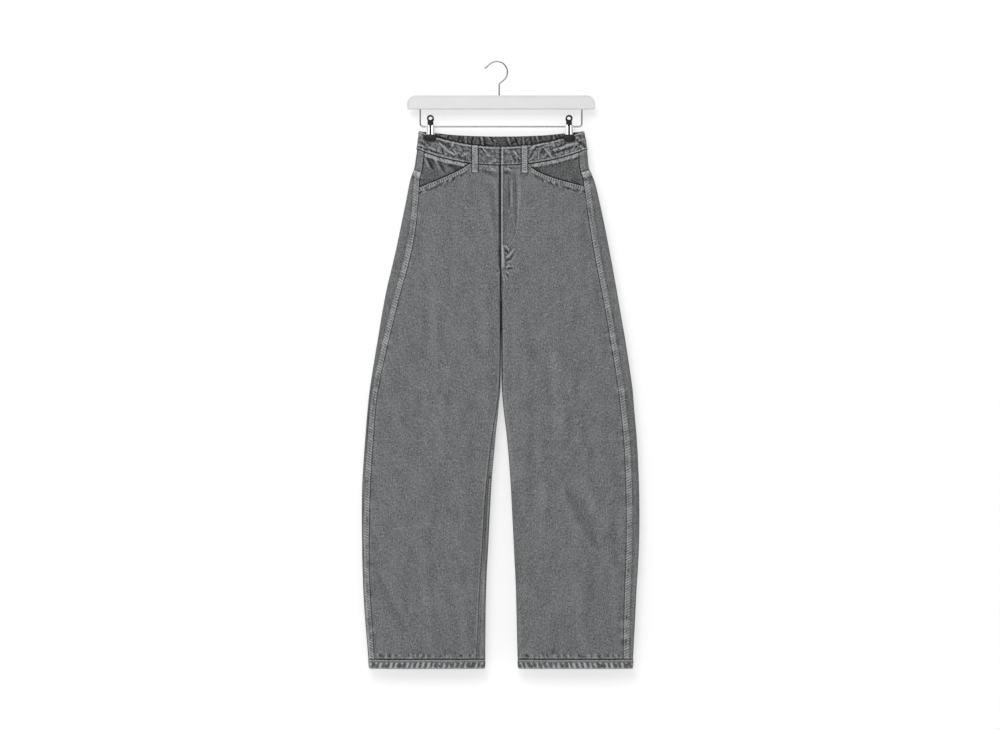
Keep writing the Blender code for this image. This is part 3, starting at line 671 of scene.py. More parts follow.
@dataclass
class Relief:
    """Creases and crumpling of the cloth, added to the garment's form."""

    form: TrouserForm
    loop_x: tuple[tuple[float, Face], ...]
    band_end_mm: float = 38.0
    band_fade_mm: float = 15.0
    streak_lean: float = 0.75
    streak_mm: float = 0.31
    crumple_mm: float = 0.27
    fan_mm: float = 0.55
    drape_mm: float = 0.80
    slack_mm: float = 0.16
    side_ripple_mm: tuple[float, float] = (0.55, 0.35)
    foot_mm: float = 0.55
    loop_end_mm: float = 82.0
    body_share: float = 0.42
    pinched_slack_mm: float = 0.25
    crumple: Lattice = Lattice(11)
    fine: Lattice = Lattice(12)
    broad: Lattice = Lattice(13)
    pucker: Lattice = Lattice(14)

    def fan(self, x: Array, drop: Array) -> Array:
        """Fan small folds out of each clip.

        Args:
            x: places along X, in millimetres.
            drop: their drops, in millimetres.

        Returns:
            Heights in millimetres.
        """
        total = np.zeros(np.shape(x))
        for place in self.form.clip_x.values():
            off_x, off_d = x - place / MM, drop - 8.0
            reach = np.hypot(off_x, off_d)
            angle = np.arctan2(off_d, np.abs(off_x) + 1e-6) + (off_x < 0) * 7.0
            folds = self.crumple.ridged(angle * 5.2, reach / 42.0, np.array(3.5))
            total += folds * np.exp(-((reach - 30.0) / 24.0) ** 2)
        return total

    def streaks(self, x: Array, y: Array, drop: Array) -> Array:
        """Lay long sharp folds that slant down and in from each side.

        Args:
            x: places along X, in millimetres.
            y: along Y.
            drop: their drops.

        Returns:
            Heights in millimetres.
        """
        lean = self.streak_lean * np.tanh(-x / 45.0)
        x = x + 5.0 * self.broad.at(x / 21.0, y / 12.0, drop / 17.0)
        drop = drop + 5.0 * self.broad.at(x / 19.0, y / 12.0, drop / 15.0 + 7.5)
        along = x * np.cos(lean) + drop * np.sin(lean)
        beside = drop * np.cos(lean) - x * np.sin(lean)
        broad = self.crumple.ridged(along / 15.0, y / 9.0, beside / 7.2)
        narrow = self.pucker.ridged(along / 6.0, y / 7.0, beside / 3.6 + 20.0)
        return broad + 0.65 * narrow

    def height(self, side: Side, q: Array, drop: Array) -> Array:
        """Add up the relief of one half.

        Args:
            side: the half.
            q: stations.
            drop: drops.

        Returns:
            Heights in metres.
        """
        form = self.form
        point = form.section(side, q, drop, 0.0, *form.closure(side, drop)) / MM
        x, y, d = point[..., 0], point[..., 1], -point[..., 2]
        below_waist = (drop - form.row_drop(0.0, q)) / MM
        band = 1.0 - smoothstep((below_waist - self.band_end_mm) / self.band_fade_mm)
        total = band * (
            self.streak_mm * self.streaks(x, y, d)
            + self.crumple_mm * self.fine.at(x / 3.4, y / 5.0, d / 4.2)
            + self.fan_mm * self.fan(x, d)
        )
        total += (1.0 - 0.7 * band) * (
            self.drape_mm * self.broad.at(x / 64.0, y / 12.0, d / 150.0)
            + self.slack_mm * self.fine.at(x / 15.0, y / 7.0, d / 34.0)
        )
        for crease in FRONT_CREASES + BACK_CREASES:
            facing = smoothstep(0.5 + crease.face.value * y / 8.0)
            total += facing * crease.at(x, d) * lerp(self.body_share, 1.0, band)
        seam, _ = form.side_station(side, drop)
        off = (q - seam) * form.span(side, drop) / MM
        long_mm, short_mm = self.side_ripple_mm
        ripple = long_mm * self.pucker.at(d / 34.0, np.array(0.5), np.array(side.sign * 2.0))
        ripple = ripple + short_mm * self.pucker.at(d / 12.0, np.array(4.5), np.array(side.sign * 2.0))
        total += ripple * np.exp(-((off - 4.0) / 11.0) ** 2) * (d > 95)
        hem = form.length / MM - d
        foot = self.pucker.at(x / 6.0, y / 6.0, np.array(8.5)) * np.exp(-((hem - 24.0) / 6.0) ** 2)
        total += self.foot_mm * foot
        pinch = form.pinch(x * MM, drop)
        total = np.maximum(total, -(self.pinched_slack_mm + 9.0 * (1.0 - pinch)))
        clear = 1.0 - 0.45 * smoothstep((pinch - 0.85) / 0.15)
        for place in form.clip_x.values():
            under_pad = 1.0 - smoothstep((np.abs(x - place / MM) - 10.0) / 5.0)
            clear = clear * (1.0 - 0.85 * under_pad * (1.0 - smoothstep((d - 19.0) / 5.0)))
        for place, face in self.loop_x:
            near = np.exp(-((x - place / MM) / 8.5) ** 4) * smoothstep(0.5 + face.value * y / 6.0)
            clear = clear * (1.0 - 0.85 * near * (1.0 - smoothstep((d - self.loop_end_mm) / 20.0)))
        return total * clear * MM


# Node helpers


@dataclass(frozen=True)
class Value:
    """A number that a node gives. Python's operators on it add Math nodes."""

    graph: "Graph"
    socket: NodeSocket

    def _math(self, operation: str, first: object, second: object = 0.0) -> "Value":
        """Add one Math node over two values."""
        node = self.graph.add("ShaderNodeMath", {"operation": operation}, {0: first, 1: second})
        return Value(self.graph, node.outputs[0])

    def __add__(self, other: object) -> "Value":
        """Sum."""
        return self._math("ADD", self, other)

    __radd__ = __add__

    def __sub__(self, other: object) -> "Value":
        """Difference."""
        return self._math("SUBTRACT", self, other)

    def __rsub__(self, other: object) -> "Value":
        """Difference taken from a number."""
        return self._math("SUBTRACT", other, self)

    def __mul__(self, other: object) -> "Value":
        """Product."""
        return self._math("MULTIPLY", self, other)

    __rmul__ = __mul__

    def __pow__(self, other: object) -> "Value":
        """Power."""
        return self._math("POWER", self, other)

    def sine(self) -> "Value":
        """Sine of an angle in radians."""
        return self._math("SINE", self)


@dataclass(frozen=True)
class Graph:
    """A node tree that is added to by one method."""

    tree: NodeTree

    def add(self, kind: str, settings: Optional[dict] = None, values: Optional[dict] = None) -> Node:
        """Add a node.

        Args:
            kind: the node's type.
            settings: its properties, set before its sockets.
            values: what each socket gets, by name, identifier or index.

        Returns:
            The node.
        """
        node = self.tree.nodes.new(kind)
        for key, value in (settings or {}).items():
            setattr(node, key, value)
        for key, value in (values or {}).items():
            self.feed(self._socket(node, key), value)
        return node

    def _socket(self, node: Node, key: object) -> NodeSocket:
        """Find an input of a node.

        Args:
            node: the node.
            key: its index, identifier or name.

        Returns:
            The input.
        """
        if isinstance(key, int):
            return node.inputs[key]
        for socket in node.inputs:
            if socket.identifier == key:
                return socket
        return node.inputs[key]

    def feed(self, socket: NodeSocket, value: object) -> None:
        """Link a value to an input, or set the input to it.

        Args:
            socket: the input.
            value: a Value, a socket or a constant.
        """
        if isinstance(value, Value):
            value = value.socket
        if isinstance(value, NodeSocket):
            self.tree.links.new(value, socket)
        else:
            socket.default_value = value


@dataclass(frozen=True)
class Surface:
    """A material under construction: its graph, and the expressions shaders share."""

    material: Material
    graph: Graph

    @staticmethod
    def start(name: str) -> "Surface":
        """Make an empty material.

        Args:
            name: its name.

        Returns:
            The surface to build it on.
        """
        material = bpy.data.materials.new(name)
        material.use_nodes = True
        material.node_tree.nodes.clear()
        return Surface(material, Graph(material.node_tree))

    def in_mm(self, place: NodeSocket) -> NodeSocket:
        """A place given in metres, in millimetres."""
        values = {0: place, "Scale": 1.0 / MM}
        return self.graph.add("ShaderNodeVectorMath", {"operation": "SCALE"}, values).outputs[0]

    def cloth_mm(self) -> NodeSocket:
        """Place on the cloth, in millimetres across and down, from its UV map."""
        return self.in_mm(self.graph.add("ShaderNodeUVMap", {"uv_map": "cloth"}).outputs[0])

    def object_mm(self) -> NodeSocket:
        """Place on the object, in millimetres."""
        return self.in_mm(self.graph.add("ShaderNodeTexCoord").outputs["Object"])

    def noise(self, vector: NodeSocket, cell: Sequence[float], detail: float) -> Value:
        """Add noise of about -1 to 1.

        Args:
            vector: the place, in millimetres.
            cell: size of its cells along each axis.
            detail: how many finer layers it has.

        Returns:
            The noise.
        """
        stretched = self.graph.add(
            "ShaderNodeVectorMath", {"operation": "MULTIPLY"}, {0: vector, 1: tuple(1.0 / c for c in cell)}
        )
        node = self.graph.add(
            "ShaderNodeTexNoise", {}, {"Vector": stretched.outputs[0], "Scale": 1.0, "Detail": detail}
        )
        return (Value(self.graph, node.outputs["Fac"]) - 0.5) * 3.2

    def split(self, vector: NodeSocket) -> tuple[Value, Value, Value]:
        """Take a vector apart."""
        node = self.graph.add("ShaderNodeSeparateXYZ", {}, {0: vector})
        return tuple(Value(self.graph, socket) for socket in node.outputs)

    def attribute(self, name: str) -> Node:
        """Read a piece's own attribute."""
        return self.graph.add("ShaderNodeAttribute", {"attribute_name": name})

    def blend(self, factor: Value, low: Sequence[float], high: Sequence[float]) -> NodeSocket:
        """Mix two colours.

        Args:
            factor: 0 for the first colour, 1 for the second.
            low: the first colour.
            high: the second colour.

        Returns:
            The mixed colour.
        """
        node = self.graph.add(
            "ShaderNodeMix",
            {"data_type": "RGBA", "clamp_factor": True},
            {"Factor_Float": factor, "A_Color": (*low, 1.0), "B_Color": (*high, 1.0)},
        )
        return node.outputs[2]

    def bump(self, height_mm: Value) -> NodeSocket:
        """Normal bent by a height in millimetres."""
        return self.graph.add("ShaderNodeBump", {}, {"Distance": MM, "Height": height_mm}).outputs[0]

    def finish(self, **sockets: object) -> Material:
        """Close the material with a Principled shader.

        Args:
            sockets: what its inputs get, by name with a line for each space.

        Returns:
            The material.
        """
        values = {key.replace("_", " "): value for key, value in sockets.items()}
        shader = self.graph.add("ShaderNodeBsdfPrincipled", {}, values)
        self.graph.add("ShaderNodeOutputMaterial", {}, {"Surface": shader.outputs[0]})
        return self.material


# Finishes


@dataclass(frozen=True)
class WashedDenim:
    """Grey denim, washed: salt-and-pepper grain, slubs down the warp, worn ridges and painted shade.

    dark and light are the colours at the ends of the tone, tone is its middle and curve
    its contrast. grain, mottle, cloud, wear and ladder are how far each moves
    it, slant turns the rungs, in turns for each millimetre, and weave_turn is in radians.
    wear scales each piece's attribute of rubbed wear and painted shade.
    """

    name: str
    tone: float = 0.507
    dark: tuple[float, float, float] = (0.010, 0.0104, 0.0107)
    light: tuple[float, float, float] = (0.350, 0.361, 0.367)
    curve: float = 1.55
    grain: float = 0.26
    mottle: float = 0.23
    cloud: float = 0.045
    wear: float = 0.24
    ladder: float = 0.42
    slant: float = 0.10
    weave_turn: float = 0.62
    twill_mm: float = 1.15

    def make(self) -> Material:
        """Build the material.

        Returns:
            The material.
        """
        s = Surface.start(self.name)
        place = s.cloth_mm()
        u, v, _ = s.split(place)
        grain = s.noise(place, (0.9, 1.5, 1.0), 1.0)
        mottle = s.noise(place, (2.3, 3.6, 1.0), 2.0)
        patch = s.noise(place, (14.0, 40.0, 1.0), 2.0)
        slub = s.noise(place, (1.5, 15.0, 1.0), 1.0)
        values = {"Vector": place, "Angle": self.weave_turn}
        turned = s.graph.add("ShaderNodeVectorRotate", {"rotation_type": "Z_AXIS"}, values)
        weave = s.noise(turned.outputs[0], (1.5, 6.0, 1.0), 1.0)
        cloud = s.noise(place, (34.0, 60.0, 1.0), 2.0)
        twill = ((u + v * 0.8) * (2 * math.pi / self.twill_mm)).sine()
        # each piece's attribute of rubbed wear plus painted shade and highlight, added to the tone
        worn_and_shaded = Value(s.graph, s.attribute("wear").outputs["Fac"])
        off, phase, gain = s.split(s.attribute("ladder").outputs["Vector"])
        uneven = s.noise(place, (9.0, 9.0, 1.0), 1.0)
        rung = ((phase + off * self.slant + uneven * 0.16) * (2 * math.pi)).sine() * 0.5 + 0.5
        rung = (rung ** 1.6) * gain * (uneven * 0.9 + 0.9 + patch * 1.1)
        tone = self.tone + grain * self.grain + mottle * self.mottle + slub * (0.35 * self.mottle)
        worn_and_shaded = worn_and_shaded * (patch * 0.35 + 1.0)
        tone = tone + cloud * self.cloud + worn_and_shaded * self.wear + (rung - gain * 0.34) * self.ladder
        tone = tone + weave * (0.75 * self.mottle) + twill * 0.035
        height = grain * 0.07 + mottle * 0.13 + slub * 0.040 + twill * 0.03 + rung * 0.50
        return s.finish(
            Base_Color=s.blend(tone ** self.curve, self.dark, self.light),
            Roughness=grain * 0.03 + 0.90,
            Specular_IOR_Level=0.30,
            Normal=s.bump(height),
        )


@dataclass(frozen=True)
class Thread:
    """Tonal sewing thread, with the twist of its plies."""

    name: str = "tonal_thread"
    dark: tuple[float, float, float] = (0.19, 0.19, 0.192)
    light: tuple[float, float, float] = (0.48, 0.482, 0.484)

    def make(self) -> Material:
        """Build the material.

        Returns:
            The material.
        """
        s = Surface.start(self.name)
        place = s.object_mm()
        x, y, z = s.split(place)
        ply = ((x + z * 1.4 + y) * (2 * math.pi / 0.55)).sine()
        fade = s.noise(place, (6.0, 6.0, 6.0), 1.0)
        return s.finish(
            Base_Color=s.blend(ply * 0.14 + fade * 0.14 + 0.55, self.dark, self.light),
            Roughness=0.72,
            Normal=s.bump(ply * 0.05),
        )


@dataclass(frozen=True)
class MouldedPlastic:
    """Moulded plastic with a faint orange-peel skin and fine scuffs."""

    name: str
    low: tuple[float, float, float]
    high: tuple[float, float, float]
    roughness: float
    skin_mm: float
    shine: float = 0.5

    def make(self) -> Material:
        """Build the material.

        Returns:
            The material.
        """
        s = Surface.start(self.name)
        place = s.object_mm()
        skin = s.noise(place, (1.3, 1.3, 1.3), 2.0)
        flow = s.noise(place, (46.0, 9.0, 18.0), 1.0)
        scuff = s.noise(place, (9.0, 1.6, 1.2), 3.0)
        return s.finish(
            Base_Color=s.blend(flow * 0.3 + skin * 0.10 + 0.5, self.low, self.high),
            Roughness=scuff * 0.05 + self.roughness,
            Specular_IOR_Level=self.shine,
            Normal=s.bump(skin * self.skin_mm),
        )


@dataclass(frozen=True)
class Chrome:
    """Bright plated steel with faint drawing lines."""

    name: str
    low: tuple[float, float, float]
    high: tuple[float, float, float]
    roughness: float

    def make(self) -> Material:
        """Build the material.

        Returns:
            The material.
        """
        s = Surface.start(self.name)
        place = s.object_mm()
        drawn = s.noise(place, (5.0, 0.5, 5.0), 2.0)
        haze = s.noise(place, (3.0, 3.0, 3.0), 2.0)
        return s.finish(
            Base_Color=s.blend(haze * 0.35 + 0.5, self.low, self.high),
            Metallic=1.0,
            Roughness=drawn * 0.03 + haze * 0.03 + self.roughness,
            Normal=s.bump(drawn * 0.004),
        )


# Mesh helpers


def add_object(name: str, mesh: Mesh) -> Object:
    """Put a mesh in the scene."""
    obj = bpy.data.objects.new(name, mesh)
    bpy.context.scene.collection.objects.link(obj)
    return obj


def mesh_piece(name: str, points: Array, faces: Sequence[Sequence[int]], material: Material) -> Object:
    """Make a smooth-shaded piece.

    Args:
        name: its name.
        points: its points in the shared frame.
        faces: its faces.
        material: its finish.

    Returns:
        The piece.
    """
    mesh = bpy.data.meshes.new(name)
    mesh.from_pydata(np.asarray(points).reshape(-1, 3).tolist(), [], [tuple(f) for f in faces])
    mesh.shade_smooth()
    mesh.materials.append(material)
    return add_object(name, mesh)


def dress(piece: Object, nodes: Sequence[str] = ()) -> None:
    """Hang a finished piece on the body.

    Args:
        piece: the piece.
        nodes: the CAD nodes that it replaces.
    """
    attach(piece, BODY)
    if nodes:
        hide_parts(*nodes)
    LOG.info("%s: %d faces", piece.name, len(piece.data.polygons))


def ring_faces(rings: int, width: int, first: int = 0) -> list[tuple[int, ...]]:
    """Join rings of points, each to the next.

    Args:
        rings: how many rings there are.
        width: points in each.
        first: the ring to begin at.

    Returns:
        Their quads.
    """
    faces = []
    for i in range(first, rings - 1):
        for j in range(width):
            n = (j + 1) % width
            faces.append((i * width + j, i * width + n, (i + 1) * width + n, (i + 1) * width + j))
    return faces


def capped_faces(rings: int, width: int) -> list[tuple[int, ...]]:
    """Join rings of points and close the first and the last with one face each."""
    caps = [tuple(range(width)), tuple((rings - 1) * width + j for j in reversed(range(width)))]
    return ring_faces(rings, width) + caps


def quad_sheet(height: int, width: int, ring: bool) -> list[tuple[int, int, int, int]]:
    """Join a sheet of points.

    Args:
        height: its rows.
        width: its columns.
        ring: whether the last column joins the first.

    Returns:
        Its quads.
    """
    faces = []
    for i in range(height - 1):
        for j in range(width if ring else width - 1):
            right = (j + 1) % width
            faces.append((i * width + j, (i + 1) * width + j, (i + 1) * width + right, i * width + right))
    return faces


@dataclass
class Shell:
    """A closed cloth wall between an outer and an inner grid of points."""

    outer: Array
    inner: Array
    ring: bool = False
    bulge: float = 0.0001

    def rims(self) -> list[list[tuple[int, int]]]:
        """Walk round the sheet's edges.

        Returns:
            Closed walks of (row, column) pairs.
        """
        height, width = self.outer.shape[:2]
        first = [(0, j) for j in range(width)]
        last = [(height - 1, j) for j in range(width)]
        if self.ring:
            return [first, last[::-1]]
        right = [(i, width - 1) for i in range(1, height)]
        left = [(i, 0) for i in range(height - 2, 0, -1)]
        return [first + right + last[-2::-1] + left]

    def rim_points(self, rim: list[tuple[int, int]]) -> Array:
        """Find the middle of the cut edge, pushed out a little so that it looks rounded.

        Args:
            rim: a walk round the edge.

        Returns:
            Its points.
        """
        height, width = self.outer.shape[:2]
        middles = []
        for i, j in rim:
            inward = self.outer[min(max(i, 1), height - 2), j if self.ring else min(max(j, 1), width - 2)]
            away = self.outer[i, j] - inward
            away = away / max(float(np.linalg.norm(away)), 1e-9)
            middles.append((self.outer[i, j] + self.inner[i, j]) / 2 + away * self.bulge)
        return np.array(middles)

    def build(
        self, name: str, material: Material, flip: bool, place: Array, wear: Array, ladder: Array
    ) -> Object:
        """Make the mesh.

        Args:
            name: the piece's name.
            material: its finish.
            flip: whether the faces have to be turned.
            place: each grid point's place on the flat cloth, in metres.
            wear: each grid point's rubbed wear and painted shade, with a second layer for the inner side.
            ladder: each grid point's seam data: offset, phase and gain.

        Returns:
            The piece.
        """
        height, width = self.outer.shape[:2]
        count = height * width
        faces = quad_sheet(height, width, self.ring)
        faces += [tuple(count + corner for corner in face[::-1]) for face in faces]
        points = [self.outer.reshape(-1, 3), self.inner.reshape(-1, 3)]
        places = [place.reshape(-1, 2)] * 2
        wear_and_shading_layers = [wear[0].reshape(-1), wear[1].reshape(-1)]
        flat_ladder = ladder.reshape(-1, 3)
        ladders = [flat_ladder, flat_ladder * (1.0, 1.0, 0.4)]
        base = 2 * count
        for rim in self.rims():
            index = np.array([i * width + j for i, j in rim])
            size = len(index)
            points.append(self.rim_points(rim))
            places.append(places[0][index])
            wear_and_shading_layers.append(wear_and_shading_layers[0][index])
            ladders.append(ladders[0][index])
            for k in range(size):
                n = (k + 1) % size
                a, b, m, o = int(index[k]), int(index[n]), base + k, base + n
                faces.append((a, b, o, m))
                faces.append((m, o, count + b, count + a))
            base += size
        faces = [f[::-1] for f in faces] if flip else faces
        piece = mesh_piece(name, np.concatenate(points), faces, material)
        mesh = piece.data
        corner = np.empty(len(mesh.loops), dtype=np.int32)
        mesh.loops.foreach_get("vertex_index", corner)
        layer = mesh.uv_layers.new(name="cloth")
        layer.data.foreach_set("uv", np.concatenate(places)[corner].astype(np.float32).ravel())
        mesh.attributes.new("wear", "FLOAT", "POINT").data.foreach_set(
            "value", np.concatenate(wear_and_shading_layers).astype(np.float32)
        )
        mesh.attributes.new("ladder", "FLOAT_VECTOR", "POINT").data.foreach_set(
            "vector", np.concatenate(ladders).astype(np.float32).ravel()
        )
        return piece


# Cloth pieces


@dataclass(frozen=True)
class Fell:
    """How a sewn edge looks: a dipped line, a raised allowance and its rungs.

    Sizes are in millimetres. light is the crest's rubbed wear and dark the painted shade in the
    seam's line, below 0 for a rubbed light edge. period is the distance of the rungs, gain
    their strength and line the width of the dark line. where limits the sewing to some
    stations and drops, and pucker gathers the cloth beyond it.
    """

    edge: Edge
    width: float = 8.0
    rise: float = 0.30
    dip: float = 0.40
    light: float = 0.5
    dark: float = 0.9
    line: float = 1.3
    period: float = 6.5
    gain: float = 0.5
    where: Optional[Keep] = None
    pucker: float = 0.0

    def height(self, off: Array) -> Array:
        """Height across the allowance, in millimetres."""
        flat = smoothstep(off / 1.4) * (1.0 - smoothstep((off - self.width) / 2.6))
        return self.rise * flat - self.dip * np.exp(-((off / 0.9) ** 2))

    def wear(self, off: Array) -> Array:
        """Rubbed wear and painted shade across the allowance: its crest rubbed light, its line painted dark
        with shade.
        """
        flat = smoothstep((off - 0.6) / 1.6) * (1.0 - smoothstep((off - self.width) / 2.6))
        beyond = np.exp(-(((off - self.width - 1.8) / 1.5) ** 2))
        return self.light * flat - self.dark * np.exp(-((off / self.line) ** 2)) - 0.3 * self.light * beyond

    def rungs(self, off: Array) -> Array:
        """Strength of the rungs across the allowance."""
        return self.gain * smoothstep((off - 0.4) / 1.4) * (1.0 - smoothstep((off - self.width + 1.0) / 2.4))


@dataclass
class ClothPiece:
    """One cut of cloth: its rows and columns on the garment's form, and its edges."""

    name: str
    side: Side
    form: TrouserForm
    relief: Relief
    rows: RowRule
    columns: list[tuple[int, Array]]
    breaks: Callable[[Side, Array], list[Array]]
    thickness: float
    fells: tuple[Fell, ...] = ()
    lift: Array = 0.0
    lap: Optional[Callable[[Side, Array], tuple[Array, Array]]] = None
    ring: bool = False
    bulge: float = 0.0001
    # painted shadow lines and other darkening, added to the wear-and-shading attribute
    extra_wear: Optional[Callable[["ClothPiece"], Array]] = None
    shadow: float = 0.0
    shadow_reach_mm: float = 2.2
    q: Array = field(init=False)
    drop: Array = field(init=False)
    points: Array = field(init=False)
    normals: Array = field(init=False)
    offsets: dict[Edge, Array] = field(init=False)
    flat: tuple[float, float] = field(init=False)
    area: float = field(init=False)

    def stations(self) -> None:
        """Settle each grid point's station and drop."""
        stretch = np.concatenate([np.full(len(part) - 1, index) for index, part in self.columns])
        share = np.concatenate([part[1:] for _, part in self.columns])
        stretch, share = np.insert(stretch, 0, self.columns[0][0]), np.insert(share, 0, 0.0)
        drop = self.rows(np.full((1, len(share)), 1.5))
        for _ in range(5):
            marks = np.stack(self.breaks(self.side, drop))
            place = np.arange(len(share))
            low, high = marks[stretch, :, place].T, marks[stretch + 1, :, place].T
            self.q = low + (high - low) * share
            drop = self.rows(self.q)
        self.drop = drop
        if self.ring:
            self.q, self.drop = self.q[:, :-1], self.drop[:, :-1]

    def surface(self, lift: Array) -> Array:
        """Points of the cloth at a lift, in the shared frame."""
        lap, under = (self.lap or self.form.closure)(self.side, self.drop)
        points = self.form.section(self.side, self.q, self.drop, lift, lap, under)
        return points + np.array([self.form.centre_x, 0.0, self.form.waist_top_z])

    def measure(self, smooth: Array) -> None:
        """Take the offsets from each edge, the flat cut and its area.

        Args:
            smooth: the points of the smooth surface.
        """
        across = np.linalg.norm(np.diff(smooth, axis=1), axis=2)
        down = np.linalg.norm(np.diff(smooth, axis=0), axis=2)
        right = np.pad(np.cumsum(across, axis=1), ((0, 0), (1, 0)))
        below = np.pad(np.cumsum(down, axis=0), ((1, 0), (0, 0)))
        self.offsets = {
            Edge.FIRST: right,
            Edge.LAST: right[:, -1:] - right,
            Edge.TOP: below,
            Edge.BOTTOM: below[-1:] - below,
        }
        one = np.cross(smooth[1:, :-1] - smooth[:-1, :-1], smooth[:-1, 1:] - smooth[:-1, :-1])
        self.area = float(np.linalg.norm(one, axis=2).sum())
        self.flat = (float(right[:, -1].max()), float(below[-1].max()))
        self.area = min(self.area, self.flat[0] * self.flat[1])

    def build(self, material: Material) -> Object:
        """Make the piece's mesh.

        Args:
            material: its finish.

        Returns:
            The piece.
        """
        self.stations()
        lift = self.lift + np.zeros_like(self.q)
        self.measure(self.surface(lift))
        relief = self.relief.height(self.side, self.q, self.drop)
        fell, wear, ladder = self.sewn_edges()
        height = relief + fell
        self.points = self.surface(lift + height)
        # ridges lighter as rubbed wear and painted highlight, troughs darker as painted shade
        wear = wear + self.ridge_wear_and_shading(height)
        if self.extra_wear is not None:
            wear = wear + self.extra_wear(self)
        # painted shadow on the half behind the fly's edge
        wear = np.clip(wear - self.fly_shade(), -3.0, 2.2)
        inner = self.surface(lift + relief - self.thickness)
        self.normals = self.grid_normals(self.points)
        middle = self.offsets[Edge.FIRST][:, self.q.shape[1] // 2][:, None]
        place = np.stack([self.offsets[Edge.FIRST] - middle, self.drop], axis=-1)
        shell = Shell(self.points, inner, self.ring, self.bulge)
        # the inner side's layer is painted shade
        wear_and_shading_layers = (wear, self.inside_shade(relief))
        return shell.build(self.name, material, self.side is Side.LEFT, place, wear_and_shading_layers, ladder)

    def sewn_edges(self) -> tuple[Array, Array, Array]:
        """Add up what the sewing does along each edge.

        Returns:
            Height in metres, rubbed wear with painted shade, and the seam data: offset, phase and gain.
        """
        fell, wear = np.zeros_like(self.q), np.zeros_like(self.q)
        ladder = np.zeros((*self.q.shape, 3))
        for spec in self.fells:
            off = self.offsets[spec.edge] / MM
            weight = np.ones_like(off) if spec.where is None else spec.where(self.q, self.drop)
            fell = fell + weight * spec.height(off) * MM
            wear = wear + weight * spec.wear(off)
            gain = weight * spec.rungs(off)
            run = self.offsets[Edge.FIRST if spec.edge in (Edge.TOP, Edge.BOTTOM) else Edge.TOP]
            if spec.pucker:
                swell = np.exp(-(((off - spec.width - 3.6) / 3.4) ** 2))
                gathers = self.relief.fine.at(run / MM / 4.2, off / 8.0, np.array(3.5))
                fell = fell + weight * spec.pucker * MM * swell * gathers
            ends = {Edge.TOP: run[:1], Edge.BOTTOM: run[-1:], Edge.FIRST: run[:, :1], Edge.LAST: run[:, -1:]}
            phase = np.broadcast_to(ends[spec.edge] / MM / spec.period, off.shape)
            stronger = gain > ladder[..., 2]
            ladder = np.where(stronger[..., None], np.stack([off, phase, gain], axis=-1), ladder)
        return fell, wear, ladder

    def fly_shade(self) -> Array:
        """Paint shadow on the half that lies behind the fly's edge.

        Returns:
            Painted shadow to take from the wear-and-shading attribute.
        """
        fly = 1.0 - smoothstep((self.drop - self.form.fly_end + 0.01) / 0.02)
        lap, _ = (self.lap or self.form.closure)(self.side, self.drop)
        beyond = (self.offsets[Edge.FIRST] - lap) / MM - self.shadow_reach_mm
        return fly * self.shadow * (1.0 - smoothstep(beyond / 1.6))

    def inside_shade(self, relief: Array) -> Array:
        """Paint shade on the inside, darkest as a shadow line where the front's dip shows it.

        Args:
            relief: heights of the creases, in metres.

        Returns:
            Painted shade of the inner side.
        """
        dip = self.form.row_drop(0.0, np.where(self.q > 3, 6 - self.q, self.q))
        near = smoothstep((self.drop - dip + 0.0058) / 0.0035) * (self.q > 3)
        return np.clip(-0.9 * self.ridge_wear_and_shading(relief) - 0.45 - 1.9 * near, -3.0, 1.5)

    def ridge_wear_and_shading(self, height: Array) -> Array:
        """Light the ridges as rubbed wear and painted highlight, and darken the troughs with painted
        shade, from the height against its surroundings.

        Args:
            height: heights in metres.

        Returns:
            Rubbed wear, painted highlight and painted shade.
        """
        total = np.zeros_like(height)
        for reach, scale in ((2, 0.16), (6, 0.60)):
            soft, steps = height, range(-reach, reach + 1)
            for axis in (0, 1):
                soft = sum(self.shifted(soft, axis, step) for step in steps) / len(steps)
            total += np.clip((height - soft) / (scale * MM), -1.5, 1.5) * 0.5
        return total

    @staticmethod
    def shifted(values: Array, axis: int, step: int) -> Array:
        """Grid moved along one axis, its edge values held."""
        index = np.clip(np.arange(values.shape[axis]) + step, 0, values.shape[axis] - 1)
        return np.take(values, index, axis=axis)

    def grid_normals(self, points: Array) -> Array:
        """Outward unit normals of the outer grid."""
        down, right = np.gradient(points, axis=0), np.gradient(points, axis=1)
        normal = np.cross(down, right) * (1 if self.side is Side.RIGHT else -1)
        return normal / np.maximum(np.linalg.norm(normal, axis=2, keepdims=True), 1e-12)

    def line(self, edge: Edge, off_mm: float, keep: Optional[Keep] = None) -> list[Array]:
        """Line on the cloth at a distance from one edge.

        Args:
            edge: the edge it follows.
            off_mm: its distance from the edge.
            keep: which stations and drops of it stay.

        Returns:
            Runs of points with their normals, an array of shape (n, 6) each.
        """
        off = self.offsets[edge] / MM
        data = np.concatenate([self.points, self.normals, self.q[..., None], self.drop[..., None]], axis=-1)
        if edge in (Edge.FIRST, Edge.LAST):
            off, data = off.T, data.transpose(1, 0, 2)
        if edge in (Edge.LAST, Edge.BOTTOM):
            off, data = off[::-1], data[::-1]
        found = []
        for j in range(off.shape[1]):
            i = int(np.clip(np.searchsorted(off[:, j], off_mm), 1, off.shape[0] - 1))
            t = np.clip((off_mm - off[i - 1, j]) / max(off[i, j] - off[i - 1, j], 1e-9), 0, 1)
            found.append(lerp(data[i - 1, j], data[i, j], t))
        found = np.array(found)
        mask = np.ones(len(found), bool) if keep is None else keep(found[:, 6], found[:, 7])
        runs, start = [], None
        for k, kept in enumerate([*mask, False]):
            if kept and start is None:
                start = k
            if not kept and start is not None:
                if k - start > 2:
                    runs.append(found[start:k, :6])
                start = None
        return runs


# Stitches


